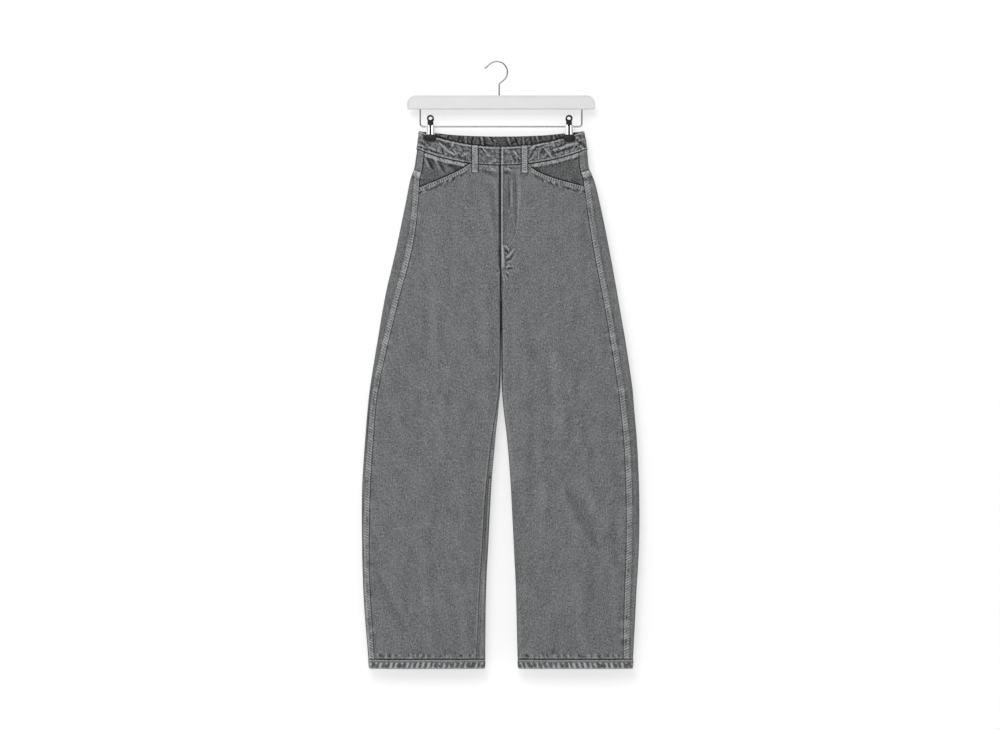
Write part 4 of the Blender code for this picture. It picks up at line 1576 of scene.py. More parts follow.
@dataclass
class Stitching:
    """Every stitch of one seam group, each an edge that Geometry Nodes turn to thread."""

    name: str
    stitch_mm: float = 2.9
    pitch_mm: float = 3.6
    thread_mm: float = 0.33
    proud_mm: float = 0.10
    tack_pitch_mm: float = 0.75
    tack_lean_mm: float = 0.4
    ends: list[Array] = field(default_factory=list)

    def run(self, line: Array) -> None:
        """Sew along a line.

        Args:
            line: its points with their normals.
        """
        points = line[:, :3] + line[:, 3:] * self.proud_mm * MM
        marks = np.concatenate([[0.0], np.cumsum(np.linalg.norm(np.diff(points, axis=0), axis=1))])
        starts = np.arange(0.4, marks[-1] / MM - self.stitch_mm, self.pitch_mm) * MM
        for start in starts:
            ends = [
                [np.interp(at, marks, points[:, axis]) for axis in range(3)]
                for at in (start, start + self.stitch_mm * MM)
            ]
            self.ends.append(np.array(ends))

    def runs(self, lines: Sequence[Array]) -> None:
        """Sew along several lines."""
        for line in lines:
            self.run(line)

    def bartack(self, tree: BVHTree, centre: Sequence[float], size: Sequence[float], face: Face) -> None:
        """Sew a dense tack on a face of a piece.

        Args:
            tree: the piece's faces.
            centre: x and z of its middle.
            size: its width and height, in millimetres.
            face: the face it is on.
        """
        width, height = size[0] * MM, size[1] * MM
        upright = height > width
        long, short = (height, width) if upright else (width, height)
        count = int(long / (self.tack_pitch_mm * MM))
        for k in range(count):
            along = -long / 2 + long * (k + 0.5) / count
            tip = []
            for cross in (-short / 2, short / 2):
                lean = self.tack_lean_mm * MM if cross > 0 else 0.0
                x = centre[0] + (cross if upright else along + lean)
                z = centre[1] + (along + lean if upright else cross)
                away = Vector((x, face.value * 0.2, z))
                hit, normal, _, _ = tree.ray_cast(away, Vector((0, -face.value, 0)))
                if hit is not None:
                    tip.append(np.array(hit + normal * self.proud_mm * MM * 2))
            if len(tip) == 2:
                self.ends.append(np.array(tip))

    def make(self, material: Material) -> Object:
        """Turn the edges into thread.

        Args:
            material: its finish.

        Returns:
            A plain mesh.
        """
        points = np.concatenate(self.ends)
        mesh = bpy.data.meshes.new(self.name)
        mesh.from_pydata(points.tolist(), [(2 * i, 2 * i + 1) for i in range(len(self.ends))], [])
        source = add_object(self.name + "_edges", mesh)
        values = {"Thread Radius": self.thread_mm * MM, "Thread": material}
        return grown(source, self.name, thread_tree(), values)


def new_tree(name: str, inputs: Sequence[tuple[str, str, object]]) -> tuple[Graph, Node, Node]:
    """Start a Geometry Nodes tree.

    Args:
        name: the tree's name.
        inputs: name, socket type and default of each input after the geometry.

    Returns:
        The graph, its input node and its output node.
    """
    tree = bpy.data.node_groups.new(name, "GeometryNodeTree")
    tree.interface.new_socket("Geometry", in_out="INPUT", socket_type="NodeSocketGeometry")
    tree.interface.new_socket("Geometry", in_out="OUTPUT", socket_type="NodeSocketGeometry")
    for label, kind, default in inputs:
        socket = tree.interface.new_socket(label, in_out="INPUT", socket_type=kind)
        if default is not None:
            socket.default_value = default
    graph = Graph(tree)
    return graph, graph.add("NodeGroupInput"), graph.add("NodeGroupOutput")


def thread_tree() -> NodeTree:
    """Build the tree that lays one plump stitch of thread along every edge of a mesh.

    Returns:
        The tree, the same one at each call.
    """
    name = "thread_on_edges"
    if name in bpy.data.node_groups:
        return bpy.data.node_groups[name]
    graph, given, result = new_tree(
        name,
        (
            ("Thread Radius", "NodeSocketFloat", 0.0003),
            ("Seed", "NodeSocketInt", 7),
            ("Thread", "NodeSocketMaterial", None),
        ),
    )
    ends = graph.add("GeometryNodeInputMeshEdgeVertices")
    step = graph.add(
        "ShaderNodeVectorMath",
        {"operation": "SUBTRACT"},
        {0: ends.outputs["Position 2"], 1: ends.outputs["Position 1"]},
    )
    edges = {"Geometry": given.outputs["Geometry"]}
    keep = graph.add("GeometryNodeCaptureAttribute", {"domain": "EDGE"}, edges)
    keep.capture_items.new("VECTOR", "Step")
    graph.feed(keep.inputs["Step"], step.outputs[0])
    centres = graph.add("GeometryNodeMeshToPoints", {"mode": "EDGES"}, {"Mesh": keep.outputs["Geometry"]})
    length = graph.add("ShaderNodeVectorMath", {"operation": "LENGTH"}, {0: keep.outputs["Step"]})
    turn = graph.add("FunctionNodeAlignRotationToVector", {"axis": "Z"}, {"Vector": keep.outputs["Step"]})
    plump = graph.add(
        "FunctionNodeRandomValue",
        {"data_type": "FLOAT"},
        {"Min_001": 0.85, "Max_001": 1.12, "Seed": given.outputs["Seed"]},
    )
    radius = Value(graph, given.outputs["Thread Radius"]) * Value(graph, plump.outputs[1])
    half = Value(graph, length.outputs["Value"]) * 0.54
    size = graph.add("ShaderNodeCombineXYZ", {}, {0: radius, 1: radius, 2: half})
    ball = graph.add("GeometryNodeMeshUVSphere", {}, {"Segments": 6, "Rings": 5, "Radius": 1.0})
    spread = graph.add(
        "GeometryNodeInstanceOnPoints",
        {},
        {
            "Points": centres.outputs["Points"],
            "Instance": ball.outputs["Mesh"],
            "Rotation": turn.outputs["Rotation"],
            "Scale": size.outputs[0],
        },
    )
    close_tree(graph, spread.outputs["Instances"], given.outputs["Thread"], result)
    return graph.tree


def close_tree(graph: Graph, shape: NodeSocket, material: NodeSocket, result: Node) -> None:
    """End a tree with real geometry, smooth faces and its material.

    Args:
        graph: the tree.
        shape: the instances or mesh it has made.
        material: the material's input.
        result: the tree's output node.
    """
    real = graph.add("GeometryNodeRealizeInstances", {}, {"Geometry": shape})
    smooth = graph.add("GeometryNodeSetShadeSmooth", {}, {"Geometry": real.outputs[0]})
    values = {"Geometry": smooth.outputs[0], "Material": material}
    graph.feed(result.inputs[0], graph.add("GeometryNodeSetMaterial", {}, values).outputs[0])


def grown(source: Object, name: str, tree: NodeTree, values: dict[str, object]) -> Object:
    """Run a tree on an object and keep the result as a plain mesh.

    Args:
        source: the object the tree starts from, removed at the end.
        name: the new piece's name.
        tree: the tree.
        values: what its named inputs get.

    Returns:
        The new piece.
    """
    modifier = source.modifiers.new("grow", "NODES")
    modifier.node_group = tree
    for item in tree.interface.items_tree:
        if item.item_type == "SOCKET" and item.in_out == "INPUT" and item.name in values:
            modifier[item.identifier] = values[item.name]
    bpy.context.view_layer.update()
    evaluated = source.evaluated_get(bpy.context.evaluated_depsgraph_get())
    mesh = bpy.data.meshes.new_from_object(evaluated)
    mesh.name = name
    bpy.data.objects.remove(source)
    return add_object(name, mesh)


# The trousers


@dataclass
class Trousers:
    """The garment: two halves of panels, a waistband, loops, hems and their sewing."""

    form: TrouserForm = field(default_factory=TrouserForm)
    loops: dict[str, tuple[float, Face]] = field(
        default_factory=lambda: {
            "front_left": (-0.052, Face.FRONT),
            "front_right": (0.047, Face.FRONT),
            "back_left": (-0.092, Face.BACK),
            "back_centre": (0.0, Face.BACK),
            "back_right": (0.092, Face.BACK),
        }
    )
    loop_width: float = 0.012
    loop_length: float = 0.054
    loop_cloth: float = 0.0020
    loop_bow: float = 0.0018
    loop_top: float = 0.0005
    row_step: float = 0.0034
    column_step: float = 0.0027
    fly_shadow: float = 4.2
    denim: WashedDenim = WashedDenim("washed_denim")
    facing_denim: WashedDenim = WashedDenim("facing_denim", tone=0.38, wear=0.32)
    band_denim: WashedDenim = WashedDenim("waistband_denim", tone=0.46, wear=0.30, grain=0.36, mottle=0.28)
    loop_denim: WashedDenim = WashedDenim("loop_denim", tone=0.68, grain=0.46, mottle=0.30)
    hem_denim: WashedDenim = WashedDenim("hem_denim", tone=0.56, ladder=0.46, slant=0.03)
    thread: Thread = Thread()
    tack_thread: Thread = Thread("tack_thread", (0.38, 0.38, 0.382), (0.72, 0.722, 0.724))

    def __post_init__(self) -> None:
        """Make the relief, the finishes and the empty lists."""
        self.relief = Relief(self.form, tuple(self.loops.values()))
        self.cloth: dict[str, ClothPiece] = {}
        self.made: dict[str, Object] = {}
        self.paint = {
            "denim": self.denim.make(),
            "facing_denim": self.facing_denim.make(),
            "waistband_denim": self.band_denim.make(),
            "hem_denim": self.hem_denim.make(),
        }
        self.loop_paint = self.loop_denim.make()
        self.thread_paint = self.thread.make()
        self.tack_paint = self.tack_thread.make()

    def body_rows(self, top: RowRule, join: float) -> RowRule:
        """Space rows from a shaped top edge down to the hem, close together near both.

        Args:
            top: the top edge's drop at each station.
            join: the drop where the rows have grown level.

        Returns:
            The rule that gives every row's drop.
        """
        form = self.form
        end = form.length - form.hem_height - form.gap / 2
        upper = spaced(0.075, 0.0010, 0.0030, Ends.START)
        lower = join + (end - join) * spaced(end - join, 0.0012, self.row_step, Ends.END)[1:]
        middle = (lower[1:] + lower[:-1]) / 2
        puckered = np.abs(middle - form.fly_end + 0.018) < 0.042
        lower = np.sort(np.concatenate([lower, middle[puckered]]))
        share = np.concatenate([upper, np.ones(len(lower))])[:, None]
        base = np.concatenate([np.full(len(upper), join), lower])[:, None]

        def rows(q: Array) -> Array:
            """Drops of all rows at the stations given."""
            q = np.broadcast_to(q, (len(base), q.shape[1]))
            return np.where(share < 1, lerp(top(q), form.row_drop(join, q), share), form.row_drop(base, q))

        return rows

    def front_breaks(self, side: Side, drop: Array) -> list[Array]:
        """Bound a front panel and its pocket corner.

        Args:
            side: the half.
            drop: drops.

        Returns:
            Stations.
        """
        seam, gap = self.form.side_station(side, drop)
        inseam, inner_gap = self.form.inseam_station(side, drop)
        first = inseam + inner_gap
        corner = np.full_like(drop, 1 + self.form.pockets[side].corner)
        return [first, np.maximum(1.0, first + 0.03), corner, seam - gap]

    def back_breaks(self, side: Side, drop: Array) -> list[Array]:
        """Bound a back panel, its side seam's ridge and the outer fold.

        Args:
            side: the half.
            drop: drops.

        Returns:
            Stations.
        """
        form = self.form
        seam, gap = form.side_station(side, drop)
        inseam, inner_gap = form.inseam_station(side, drop)
        span = form.span(side, drop)
        ridge = seam + np.minimum(form.side_ridge_width / span, 0.75 * (2.0 - seam))
        step = np.minimum(ridge + form.side_ridge_step / span, 0.1 * ridge + 0.9 * 2.0)
        two, four, five = (np.full_like(drop, value) for value in (2.0, 4.0, 5.0))
        return [seam + gap, ridge, step, two, four, five, 6.0 + inseam - inner_gap]

    def facing_breaks(self, side: Side, drop: Array) -> list[Array]:
        """Stations of a pocket facing, from inside the opening to the side seam."""
        seam, gap = self.form.side_station(side, drop)
        return [np.full_like(drop, 1 + self.form.pockets[side].corner - 0.05), seam - gap]

    def whole_breaks(self, _: Side, drop: Array) -> list[Array]:
        """Stations right round a half."""
        return [np.full_like(drop, value) for value in (0.0, 1.0, 2.0, 4.0, 5.0, 6.0)]

    def shaded(self, cloth: ClothPiece) -> Array:
        """Paint shadow lines beside the belt loops and where the legs meet, and darken the strip beside the
        fly.

        Args:
            cloth: the piece, with its points made.

        Returns:
            Painted shadow and darkening to add, below 0 where it is dark.
        """
        form = self.form
        x, y = (cloth.points[..., axis] for axis in (0, 1))
        x = (x - form.centre_x) / MM
        wear = np.zeros_like(x)
        # painted shadow lines along both edges of each belt loop
        for place, face in self.loops.values():
            base = form.row_drop(0.0, np.where(y < 0, 1.0, 5.0) + abs(place) / 0.16)
            edge = np.abs(np.abs(x - place / MM) - self.loop_width / 2 / MM - 0.7)
            beside = (y * face.value > 0) & (cloth.drop < base + self.loop_length)
            wear = wear - 1.6 * beside * np.exp(-((edge / 0.9) ** 2))
        placket = smoothstep((x - 2.0) / 3.0) * (1.0 - smoothstep((x - 27.0) / 4.0)) * (y < 0)
        along = smoothstep((cloth.drop - 0.068) / 0.004) * (1.0 - smoothstep((cloth.drop - 0.19) / 0.05))
        wear = wear - 0.22 * placket * along
        # painted shadow down the centre line where the legs meet below the fly
        meet = smoothstep((cloth.drop - form.fly_end - 0.004) / 0.012)
        meet = meet * (1 - smoothstep((cloth.drop - 0.50) / 0.04))
        return wear - 3.0 * meet * (1.0 - smoothstep((np.abs(x) - 1.3) / 1.5))

    def piece(self, name: str, slot: str, sheet_on: str, **parts: object) -> ClothPiece:
        """Build one cloth piece and dress it.

        Args:
            name: the piece's name; its CAD node has the same name without _cloth.
            slot: its material slot.
            sheet_on: what it hangs from; not used.
            parts: the rest of what ClothPiece takes.

        Returns:
            The cloth piece.
        """
        cloth = ClothPiece(name=name + "_cloth", form=self.form, relief=self.relief, **parts)
        made = cloth.build(self.paint[slot])
        dress(made, [name])
        self.cloth[name], self.made[name] = cloth, made
        return cloth

    def front_panel(self, side: Side) -> None:
        """Front of one leg, scooped at its upper outer corner for the pocket.

        Args:
            side: the half.
        """
        form = self.form
        corner = form.pockets[side].corner

        def pocket_part(q: Array, _: Array) -> Array:
            """1 along the pocket opening."""
            return smoothstep((form.across(q) - corner) / 0.05)

        def fly_edge(_: Array, drop: Array) -> Array:
            """1 beside the fly, above its end."""
            return 1.0 - smoothstep((drop - form.fly_end + 0.01) / 0.02)

        def below_fly(_: Array, drop: Array) -> Array:
            """1 below the fly."""
            return smoothstep((drop - form.fly_end + 0.01) / 0.02) * (drop < form.crotch + 0.17)

        def leg_part(_: Array, drop: Array) -> Array:
            """1 down the inside leg."""
            return smoothstep((drop - form.crotch - 0.17) / 0.02)

        over = float(side is Side.RIGHT)
        fells = (
            Fell(Edge.TOP, 8.6, 0.60, 0.25, 0.45, 0.2, 0.6, 4.7, 3.0, pocket_part, 1.5),
            Fell(Edge.TOP, 1.8, 0.0, 0.0, 1.3, 0.0, 0.7, 4.7, 0.0, pocket_part),
            Fell(Edge.TOP, 2.0, 0.10, 0.35, 0.1, 0.9, 1.5, 7.0, 0.2, lambda q, d: 1 - pocket_part(q, d)),
            Fell(Edge.LAST, 2.0, 0.0, 0.22, 0.0, 0.55, 1.5, 7.0, 0.25),
            Fell(Edge.FIRST, 2.2, 0.35 * over, 0.0, 1.6 * over, 0.0, 1.0, 6.0, 0.2 * over, fly_edge),
            Fell(Edge.FIRST, 5.0, 0.15, 0.2, 0.0, 1.9, 1.6, 7.0, 0.0, below_fly),
            Fell(Edge.FIRST, 2.6, 0.10, 0.15, 0.2, 0.3, 1.0, 4.4, 0.9, leg_part),
            Fell(Edge.BOTTOM, 3.0, 0.15, 0.35, 0.1, 1.5, 2.0, 7.0, 0.5, None, 0.8),
        )
        self.piece(
            "front_panel_" + side.value, "denim", "waistband_" + side.value + "_cloth",
            side=side,
            rows=self.body_rows(lambda q: form.front_top(side, q), form.top_join),
            columns=[
                (0, spaced(0.009, 0.0010, 0.0016, Ends.NONE)),
                (1, spaced(0.075, 0.0012, 0.0022, Ends.BOTH)),
                (2, spaced(0.150, 0.0010, self.column_step, Ends.BOTH)),
            ],
            breaks=self.front_breaks, thickness=form.denim, fells=fells,
            shadow=0.0 if over else self.fly_shadow, extra_wear=self.shaded,
        )

    def back_panel(self, side: Side) -> None:
        """Back of one leg from the yoke down, wrapped round the outer fold.

        Args:
            side: the half.
        """
        form = self.form

        def seat_part(_: Array, drop: Array) -> Array:
            """1 along the seat seam."""
            return 1.0 - smoothstep((drop - form.crotch) / 0.02)

        fells = (
            Fell(Edge.FIRST, 10.5, 0.45, 0.25, 0.42, 0.55, 1.1, 5.4, 1.15),
            Fell(Edge.LAST, 8.0, 0.35, 0.35, 0.5, 1.0, 1.2, 6.0, 0.7, seat_part),
            Fell(Edge.LAST, 7.0, 0.35, 0.20, 0.55, 0.3, 1.0, 5.2, 3.2, lambda q, d: 1 - seat_part(q, d)),
            Fell(Edge.TOP, 11.0, 0.60, 0.35, 0.45, 1.5, 1.8, 5.4, 0.9),
            Fell(Edge.BOTTOM, 3.0, 0.15, 0.35, 0.1, 1.1, 1.7, 7.0, 0.5),
        )
        self.piece(
            "back_panel_" + side.value, "denim", "back_yoke_" + side.value + "_cloth",
            side=side,
            rows=self.body_rows(lambda q: form.yoke_drop(q) + form.gap / 2, form.top_join + 0.02),
            columns=[
                (0, spaced(0.012, 0.0008, 0.0018, Ends.BOTH)),
                (1, np.array([0.0, 1.0])),
                (2, spaced(0.010, 0.0016, 0.0022, Ends.NONE)),
                (3, spaced(0.020, 0.0022, 0.0022, Ends.NONE)),
                (4, spaced(0.235, 0.0030, 0.0034, Ends.NONE)),
                (5, spaced(0.010, 0.0009, 0.0014, Ends.END)),
            ],
            breaks=self.back_breaks, thickness=form.denim, fells=fells, extra_wear=self.shaded,
        )

    def back_yoke(self, side: Side) -> None:
        """Yoke between the waistband and the back panel.

        Args:
            side: the half.
        """
        form = self.form
        share = spaced(0.060, 0.0010, 0.0028, Ends.BOTH)[:, None]

        def rows(q: Array) -> Array:
            """Drops of all rows at the stations given."""
            top = form.row_drop(form.band_height, q) + form.gap / 2
            return lerp(top, form.yoke_drop(q) - form.gap / 2, share)

        fells = (
            Fell(Edge.BOTTOM, 2.0, 0.0, 0.30, 0.0, 1.2, 1.6, 6.0, 0.3),
            Fell(Edge.TOP, 2.0, 0.10, 0.35, 0.1, 0.9, 1.5, 7.0, 0.3),
            Fell(Edge.FIRST, 10.5, 0.45, 0.35, 0.1, 0.9, 1.2, 6.3, 0.4),
            Fell(Edge.LAST, 8.0, 0.35, 0.35, 0.5, 1.0, 1.2, 6.0, 0.7),
        )
        self.piece(
            "back_yoke_" + side.value, "denim", "waistband_" + side.value + "_cloth",
            side=side, rows=rows,
            columns=[
                (0, spaced(0.012, 0.0008, 0.0016, Ends.BOTH)),
                (1, np.array([0.0, 1.0])),
                (2, spaced(0.005, 0.0016, 0.0016, Ends.NONE)),
                (3, spaced(0.016, 0.0016, 0.0016, Ends.NONE)),
                (4, spaced(0.160, 0.0024, 0.0026, Ends.NONE)),
                (5, spaced(0.008, 0.0009, 0.0014, Ends.END)),
            ],
            breaks=self.back_breaks, thickness=form.denim, fells=fells, extra_wear=self.shaded,
        )

    def pocket_facing(self, side: Side) -> None:
        """Facing that shows above the opening and runs on behind the panel.

        Args:
            side: the half.
        """
        form = self.form
        share = spaced(0.085, 0.0010, 0.0017, Ends.START)[:, None]

        def rows(q: Array) -> Array:
            """Drops of all rows at the stations given."""
            top = form.row_drop(form.band_height, q) + form.gap / 2
            return lerp(top, form.front_top(side, q) + form.facing_below, share)

        def shaded(cloth: ClothPiece) -> Array:
            """Painted shadow close above the opening's edge, deeper near the pocket's inner corner."""
            above = (form.front_top(side, cloth.q) - cloth.drop) / MM
            corner = np.exp(-(((form.across(cloth.q) - form.pockets[side].corner) / 0.16) ** 2))
            return -1.7 * (1.0 - smoothstep(above / 4.5)) - 0.7 * corner * (1.0 - smoothstep(above / 16.0))

        self.piece(
            "pocket_facing_" + side.value, "facing_denim", "waistband_" + side.value + "_cloth",
            side=side, rows=rows, columns=[(0, spaced(0.100, 0.0012, 0.0016, Ends.END))],
            breaks=self.facing_breaks, thickness=form.facing_cloth,
            lift=-(form.denim + form.gap), extra_wear=shaded,
            fells=(
                Fell(Edge.TOP, 7.0, 0.30, 0.30, 1.0, 0.9, 1.2, 5.2, 1.0),
                Fell(Edge.LAST, 2.0, 0.0, 0.30, 0.0, 1.0, 1.6, 7.0, 0.2),
            ),
        )

    def waistband(self, side: Side) -> None:
        """Waistband half, from the front closure round the side to the centre back.

        Args:
            side: the half.
        """
        form = self.form
        share = spaced(form.band_height, 0.0008, 0.0013, Ends.BOTH)[:, None]

        def rows(q: Array) -> Array:
            """Drops of all rows at the stations given."""
            return form.row_drop(lerp(0.0, form.band_height - form.gap / 2, share), q)

        def lap(_: Side, drop: Array) -> tuple[Array, Array]:
            """Lap of the left half behind the right one."""
            if side is Side.RIGHT:
                return np.zeros_like(drop), np.zeros_like(drop)
            behind = form.band_cloth + form.lap_clearance
            return np.full_like(drop, form.band_lap), np.full_like(drop, behind)

        def aside(q: Array, _: Array) -> Array:
            """1 away from the fly."""
            return smoothstep((form.across(q) - 0.26) / 0.2)

        over = float(side is Side.RIGHT)
        self.piece(
            "waistband_" + side.value, "waistband_denim", "clip_pad_front_" + side.value + "_shown",
            side=side, rows=rows, lap=lap,
            columns=[
                (0, spaced(0.009 if side is Side.RIGHT else 0.040, 0.0008, 0.0012, Ends.START)),
                (1, spaced(0.158, 0.0012, 0.0012, Ends.NONE)),
                (2, spaced(0.016, 0.0011, 0.0011, Ends.NONE)),
                (3, spaced(0.158, 0.0014, 0.0014, Ends.NONE)),
                (4, spaced(0.006, 0.0009, 0.0012, Ends.END)),
            ],
            breaks=self.whole_breaks, thickness=form.band_cloth, bulge=0.0006,
            lift=form.band_proud,
            fells=(
                Fell(Edge.TOP, 2.2, 0.30, 0.15, 1.3, 0.0, 0.8, 5.0, 0.3),
                Fell(Edge.BOTTOM, 2.6, 0.35, 0.25, 0.0, 1.6, 1.3, 6.0, 0.4),
                Fell(Edge.BOTTOM, 2.6, 0.0, 0.0, 0.6, 0.0, 0.9, 6.0, 0.0, aside),
                Fell(Edge.LAST, 2.0, 0.1, 0.3, 0.3, 0.8, 1.0, 6.0, 0.2),
                Fell(Edge.FIRST, 3.0, 0.25 * over, 0.1 * over, 1.4 * over, 0.0, 1.0, 6.0, 0.3 * over),
            ),
            shadow=0.0 if over else self.fly_shadow, extra_wear=self.shaded,
        )

    def hem(self, side: Side) -> None:
        """Turned-up hem, a ring at the foot of a leg, roped by its stitching.

        Args:
            side: the leg.
        """
        form = self.form
        share = spaced(form.hem_height, 0.0009, 0.0014, Ends.BOTH)[:, None]

        def rows(q: Array) -> Array:
            """Drops of all rows at the stations given."""
            return lerp(form.length - form.hem_height + form.gap / 2, form.length, share) + 0.0 * q

        self.piece(
            "hem_" + side.value, "hem_denim", "front_panel_" + side.value + "_cloth",
            side=side, rows=rows, ring=True, bulge=0.0007,
            columns=[
                (0, spaced(0.010, 0.0016, 0.0016, Ends.NONE)),
                (1, spaced(0.220, 0.0017, 0.0017, Ends.NONE)),
                (2, spaced(0.020, 0.0016, 0.0016, Ends.NONE)),
                (3, spaced(0.220, 0.0022, 0.0022, Ends.NONE)),
                (4, spaced(0.010, 0.0016, 0.0016, Ends.NONE)),
            ],
            breaks=self.whole_breaks, thickness=form.hem_cloth,
            lift=0.0006 * np.sin(np.pi * share),
            fells=(
                Fell(Edge.TOP, 2.6, 0.25, 0.35, 0.8, 1.8, 1.8, 10.6, 0.4),
                Fell(Edge.BOTTOM, 12.5, 0.15, 0.0, 0.1, -2.0, 2.0, 10.6, 1.6),
            ),
        )

    def loop_place(self, centre: float, face: Face) -> tuple[Side, float]:
        """Find the half that a belt loop is on, and the drop of its top.

        Args:
            centre: its middle along X.
            face: the face it is on.

        Returns:
            The half and the drop.
        """
        side = Side.LEFT if centre < 0 else Side.RIGHT
        q = 1 + abs(centre) / float(self.form.outer[side].at(0.0))
        q = q if face is Face.FRONT else 6 - q
        return side, float(self.form.row_drop(0.0, np.array(q))) + self.loop_top

    def belt_loop(self, place: str) -> None:
        """Belt loop, bowed off the waistband and tacked down at both ends.

        Args:
            place: its name among the loops.
        """
        form = self.form
        centre, face = self.loops[place]
        side, top = self.loop_place(centre, face)
        along = spaced(self.loop_length, 0.0006, 0.0012, Ends.BOTH)[:, None]
        across = spaced(self.loop_width, 0.0005, 0.0011, Ends.BOTH)[None, :] - 0.5
        x = centre - face.value * across * self.loop_width + 0.0 * along
        drop = top + along * self.loop_length + 0.0 * across
        stand = form.band_proud + form.gap + self.loop_cloth
        bow = self.loop_bow * np.sin(np.pi * along) ** 0.7
        inward = (0.5 - np.abs(across)) * self.loop_width
        roll = 0.00035 * (1.0 - smoothstep(inward / 0.0016))
        welt = 0.00030 * np.exp(-((inward - 0.0026) / 0.0008) ** 2)
        grain = 0.00012 * Lattice(21).at(x / 0.0016, np.array(centre * 100), drop / 0.004)
        depth = form.face_depth(side, np.abs(x), drop) + stand + bow - roll + welt + grain
        origin = np.array([form.centre_x, 0.0, form.waist_top_z])
        outer = np.stack([x, face.value * depth, -drop], axis=-1) + origin
        inner = np.stack([x, face.value * (depth + roll - self.loop_cloth), -drop], axis=-1) + origin
        distance = inward / MM + 0.0 * along
        # light along the welt as rubbed wear, dark along both edges as painted shade
        wear = 0.5 * np.exp(-(((distance - 2.0) / 0.8) ** 2)) - 2.2 * np.exp(-((distance / 0.6) ** 2))
        ladder = np.stack([distance, drop / 0.0042, np.full_like(drop, 0.8)], axis=-1)
        flat = np.stack([x, drop], axis=-1)
        name = "belt_loop_" + place
        made = Shell(outer, inner, False, 0.0005).build(
            name + "_cloth", self.loop_paint, False, flat, (wear, 0.0 * wear), ladder
        )
        dress(made, [name])
        self.made[name] = made

    def sew(self) -> None:
        """Sew every seam, in three groups so that each piece stays light."""
        form = self.form
        band, top, legs, tacks = (
            Stitching(part + "_stitches") for part in ("waistband", "body", "leg", "tack")
        )
        for side in Side:
            right, corner = side is Side.RIGHT, form.pockets[side].corner
            waist = self.cloth["waistband_" + side.value]
            front, back = self.cloth["front_panel_" + side.value], self.cloth["back_panel_" + side.value]
            yoke, hem = self.cloth["back_yoke_" + side.value], self.cloth["hem_" + side.value]
            band.runs(waist.line(Edge.TOP, 3.2, None if right else lambda q, _: q > 0.62))
            band.runs(waist.line(Edge.BOTTOM, 3.0, lambda q, _: form.across(q) > 0.34))
            if right:
                band.runs(waist.line(Edge.FIRST, 3.0))
            for off in (1.9, 7.6):
                top.runs(front.line(Edge.TOP, off, lambda q, _: form.across(q) > corner))
                top.runs(back.line(Edge.TOP, off + 0.6))
                legs.runs(back.line(Edge.FIRST, off + 0.4))
                legs.runs(back.line(Edge.LAST, off - 0.3, lambda _, drop: drop > form.crotch + 0.01))
                if right:
                    top.runs(back.line(Edge.LAST, off, lambda _, drop: drop < form.crotch - 0.004))
                    top.runs(yoke.line(Edge.LAST, off))
                    top.runs(front.line(Edge.FIRST, off, self.below_fly))
            legs.runs(hem.line(Edge.TOP, 2.4))
        self.sew_fly(top)
        self.sew_tacks(tacks, top)
        for group in (band, top, legs, tacks):
            LOG.info("%s: %d stitches", group.name, len(group.ends))
            dress(group.make(self.tack_paint if group is tacks else self.thread_paint))

    def below_fly(self, _: Array, drop: Array) -> Array:
        """Where the centre seam runs on from the fly's end to the crotch."""
        return (drop > self.form.fly_end) & (drop < self.form.crotch)

    def on_front(self, tree: BVHTree, path: Sequence[tuple[float, float]]) -> Array:
        """Lay a path on the front.

        Args:
            tree: the faces it lies on.
            path: its (x, drop) points, in millimetres.

        Returns:
            Points with normals along it, an array of shape (n, 6).
        """
        marks = np.array(path, dtype=float)
        run = np.concatenate([[0.0], np.cumsum(np.linalg.norm(np.diff(marks, axis=0), axis=1))])
        found = []
        for at in np.arange(0.0, run[-1], 1.5):
            x = np.interp(at, run, marks[:, 0]) * MM + self.form.centre_x
            z = self.form.waist_top_z - np.interp(at, run, marks[:, 1]) * MM
            hit, normal, _, _ = tree.ray_cast(Vector((x, -0.2, z)), Vector((0, 1, 0)))
            if hit is not None:
                found.append([*hit, *normal])
        return np.array(found)

    def faces_of(self, name: str) -> BVHTree:
        """Faces of a cloth piece, for laying things on it."""
        return BVHTree.FromObject(self.made[name], bpy.context.evaluated_depsgraph_get())

    def sew_fly(self, top: Stitching) -> None:
        """Sew the two curved rows of the fly.

        Args:
            top: the stitches of the body.
        """
        tree = self.faces_of("front_panel_right")
        away, start, turn, across, down = 34.0, 72.0, 176.0, 30.0, 56.0
        for inset in (0.0, 6.4):
            bend = [
                (away - inset - (across - inset) * (1 - math.cos(a)), turn - inset + down * math.sin(a))
                for a in np.linspace(0.0, math.pi / 2, 16)
            ]
            top.run(self.on_front(tree, [(away - inset, start), *bend]))

    def sew_tacks(self, light: Stitching, top: Stitching) -> None:
        """Sew the bartacks of the loops, pockets and fly.

        Args:
            light: the stitches in light thread.
            top: the stitches of the body.
        """
        form = self.form
        bpy.context.view_layer.update()
        for place, (centre, face) in self.loops.items():
            tree = self.faces_of("belt_loop_" + place)
            _, base = self.loop_place(centre, face)
            for drop in (base + 0.0026, base + self.loop_length - 0.0026):
                centre_of = (form.centre_x + centre, form.waist_top_z - drop)
                light.bartack(tree, centre_of, (10.2, 2.4), face)
        places = (
            ("front_panel_left", (-60.5, 77.5), (2.4, 8.0)),
            ("front_panel_right", (53.5, 77.0), (2.4, 8.0)),
            ("back_panel_left", (-164.2, 83.0), (6.4, 11.0)),
            ("back_panel_left", (-173.0, 80.0), (3.4, 6.0)),
            ("back_panel_right", (164.8, 83.0), (7.2, 11.0)),
            ("back_panel_right", (173.6, 80.0), (5.0, 7.0)),
            ("front_panel_right", (4.0, 250.0), (3.0, 12.0)),
        )
        for name, (x, drop), size in places:
            centre_of = (form.centre_x + x * MM, form.waist_top_z - drop * MM)
            group = light if name.startswith("back") else top
            group.bartack(self.faces_of(name), centre_of, size, Face.FRONT)

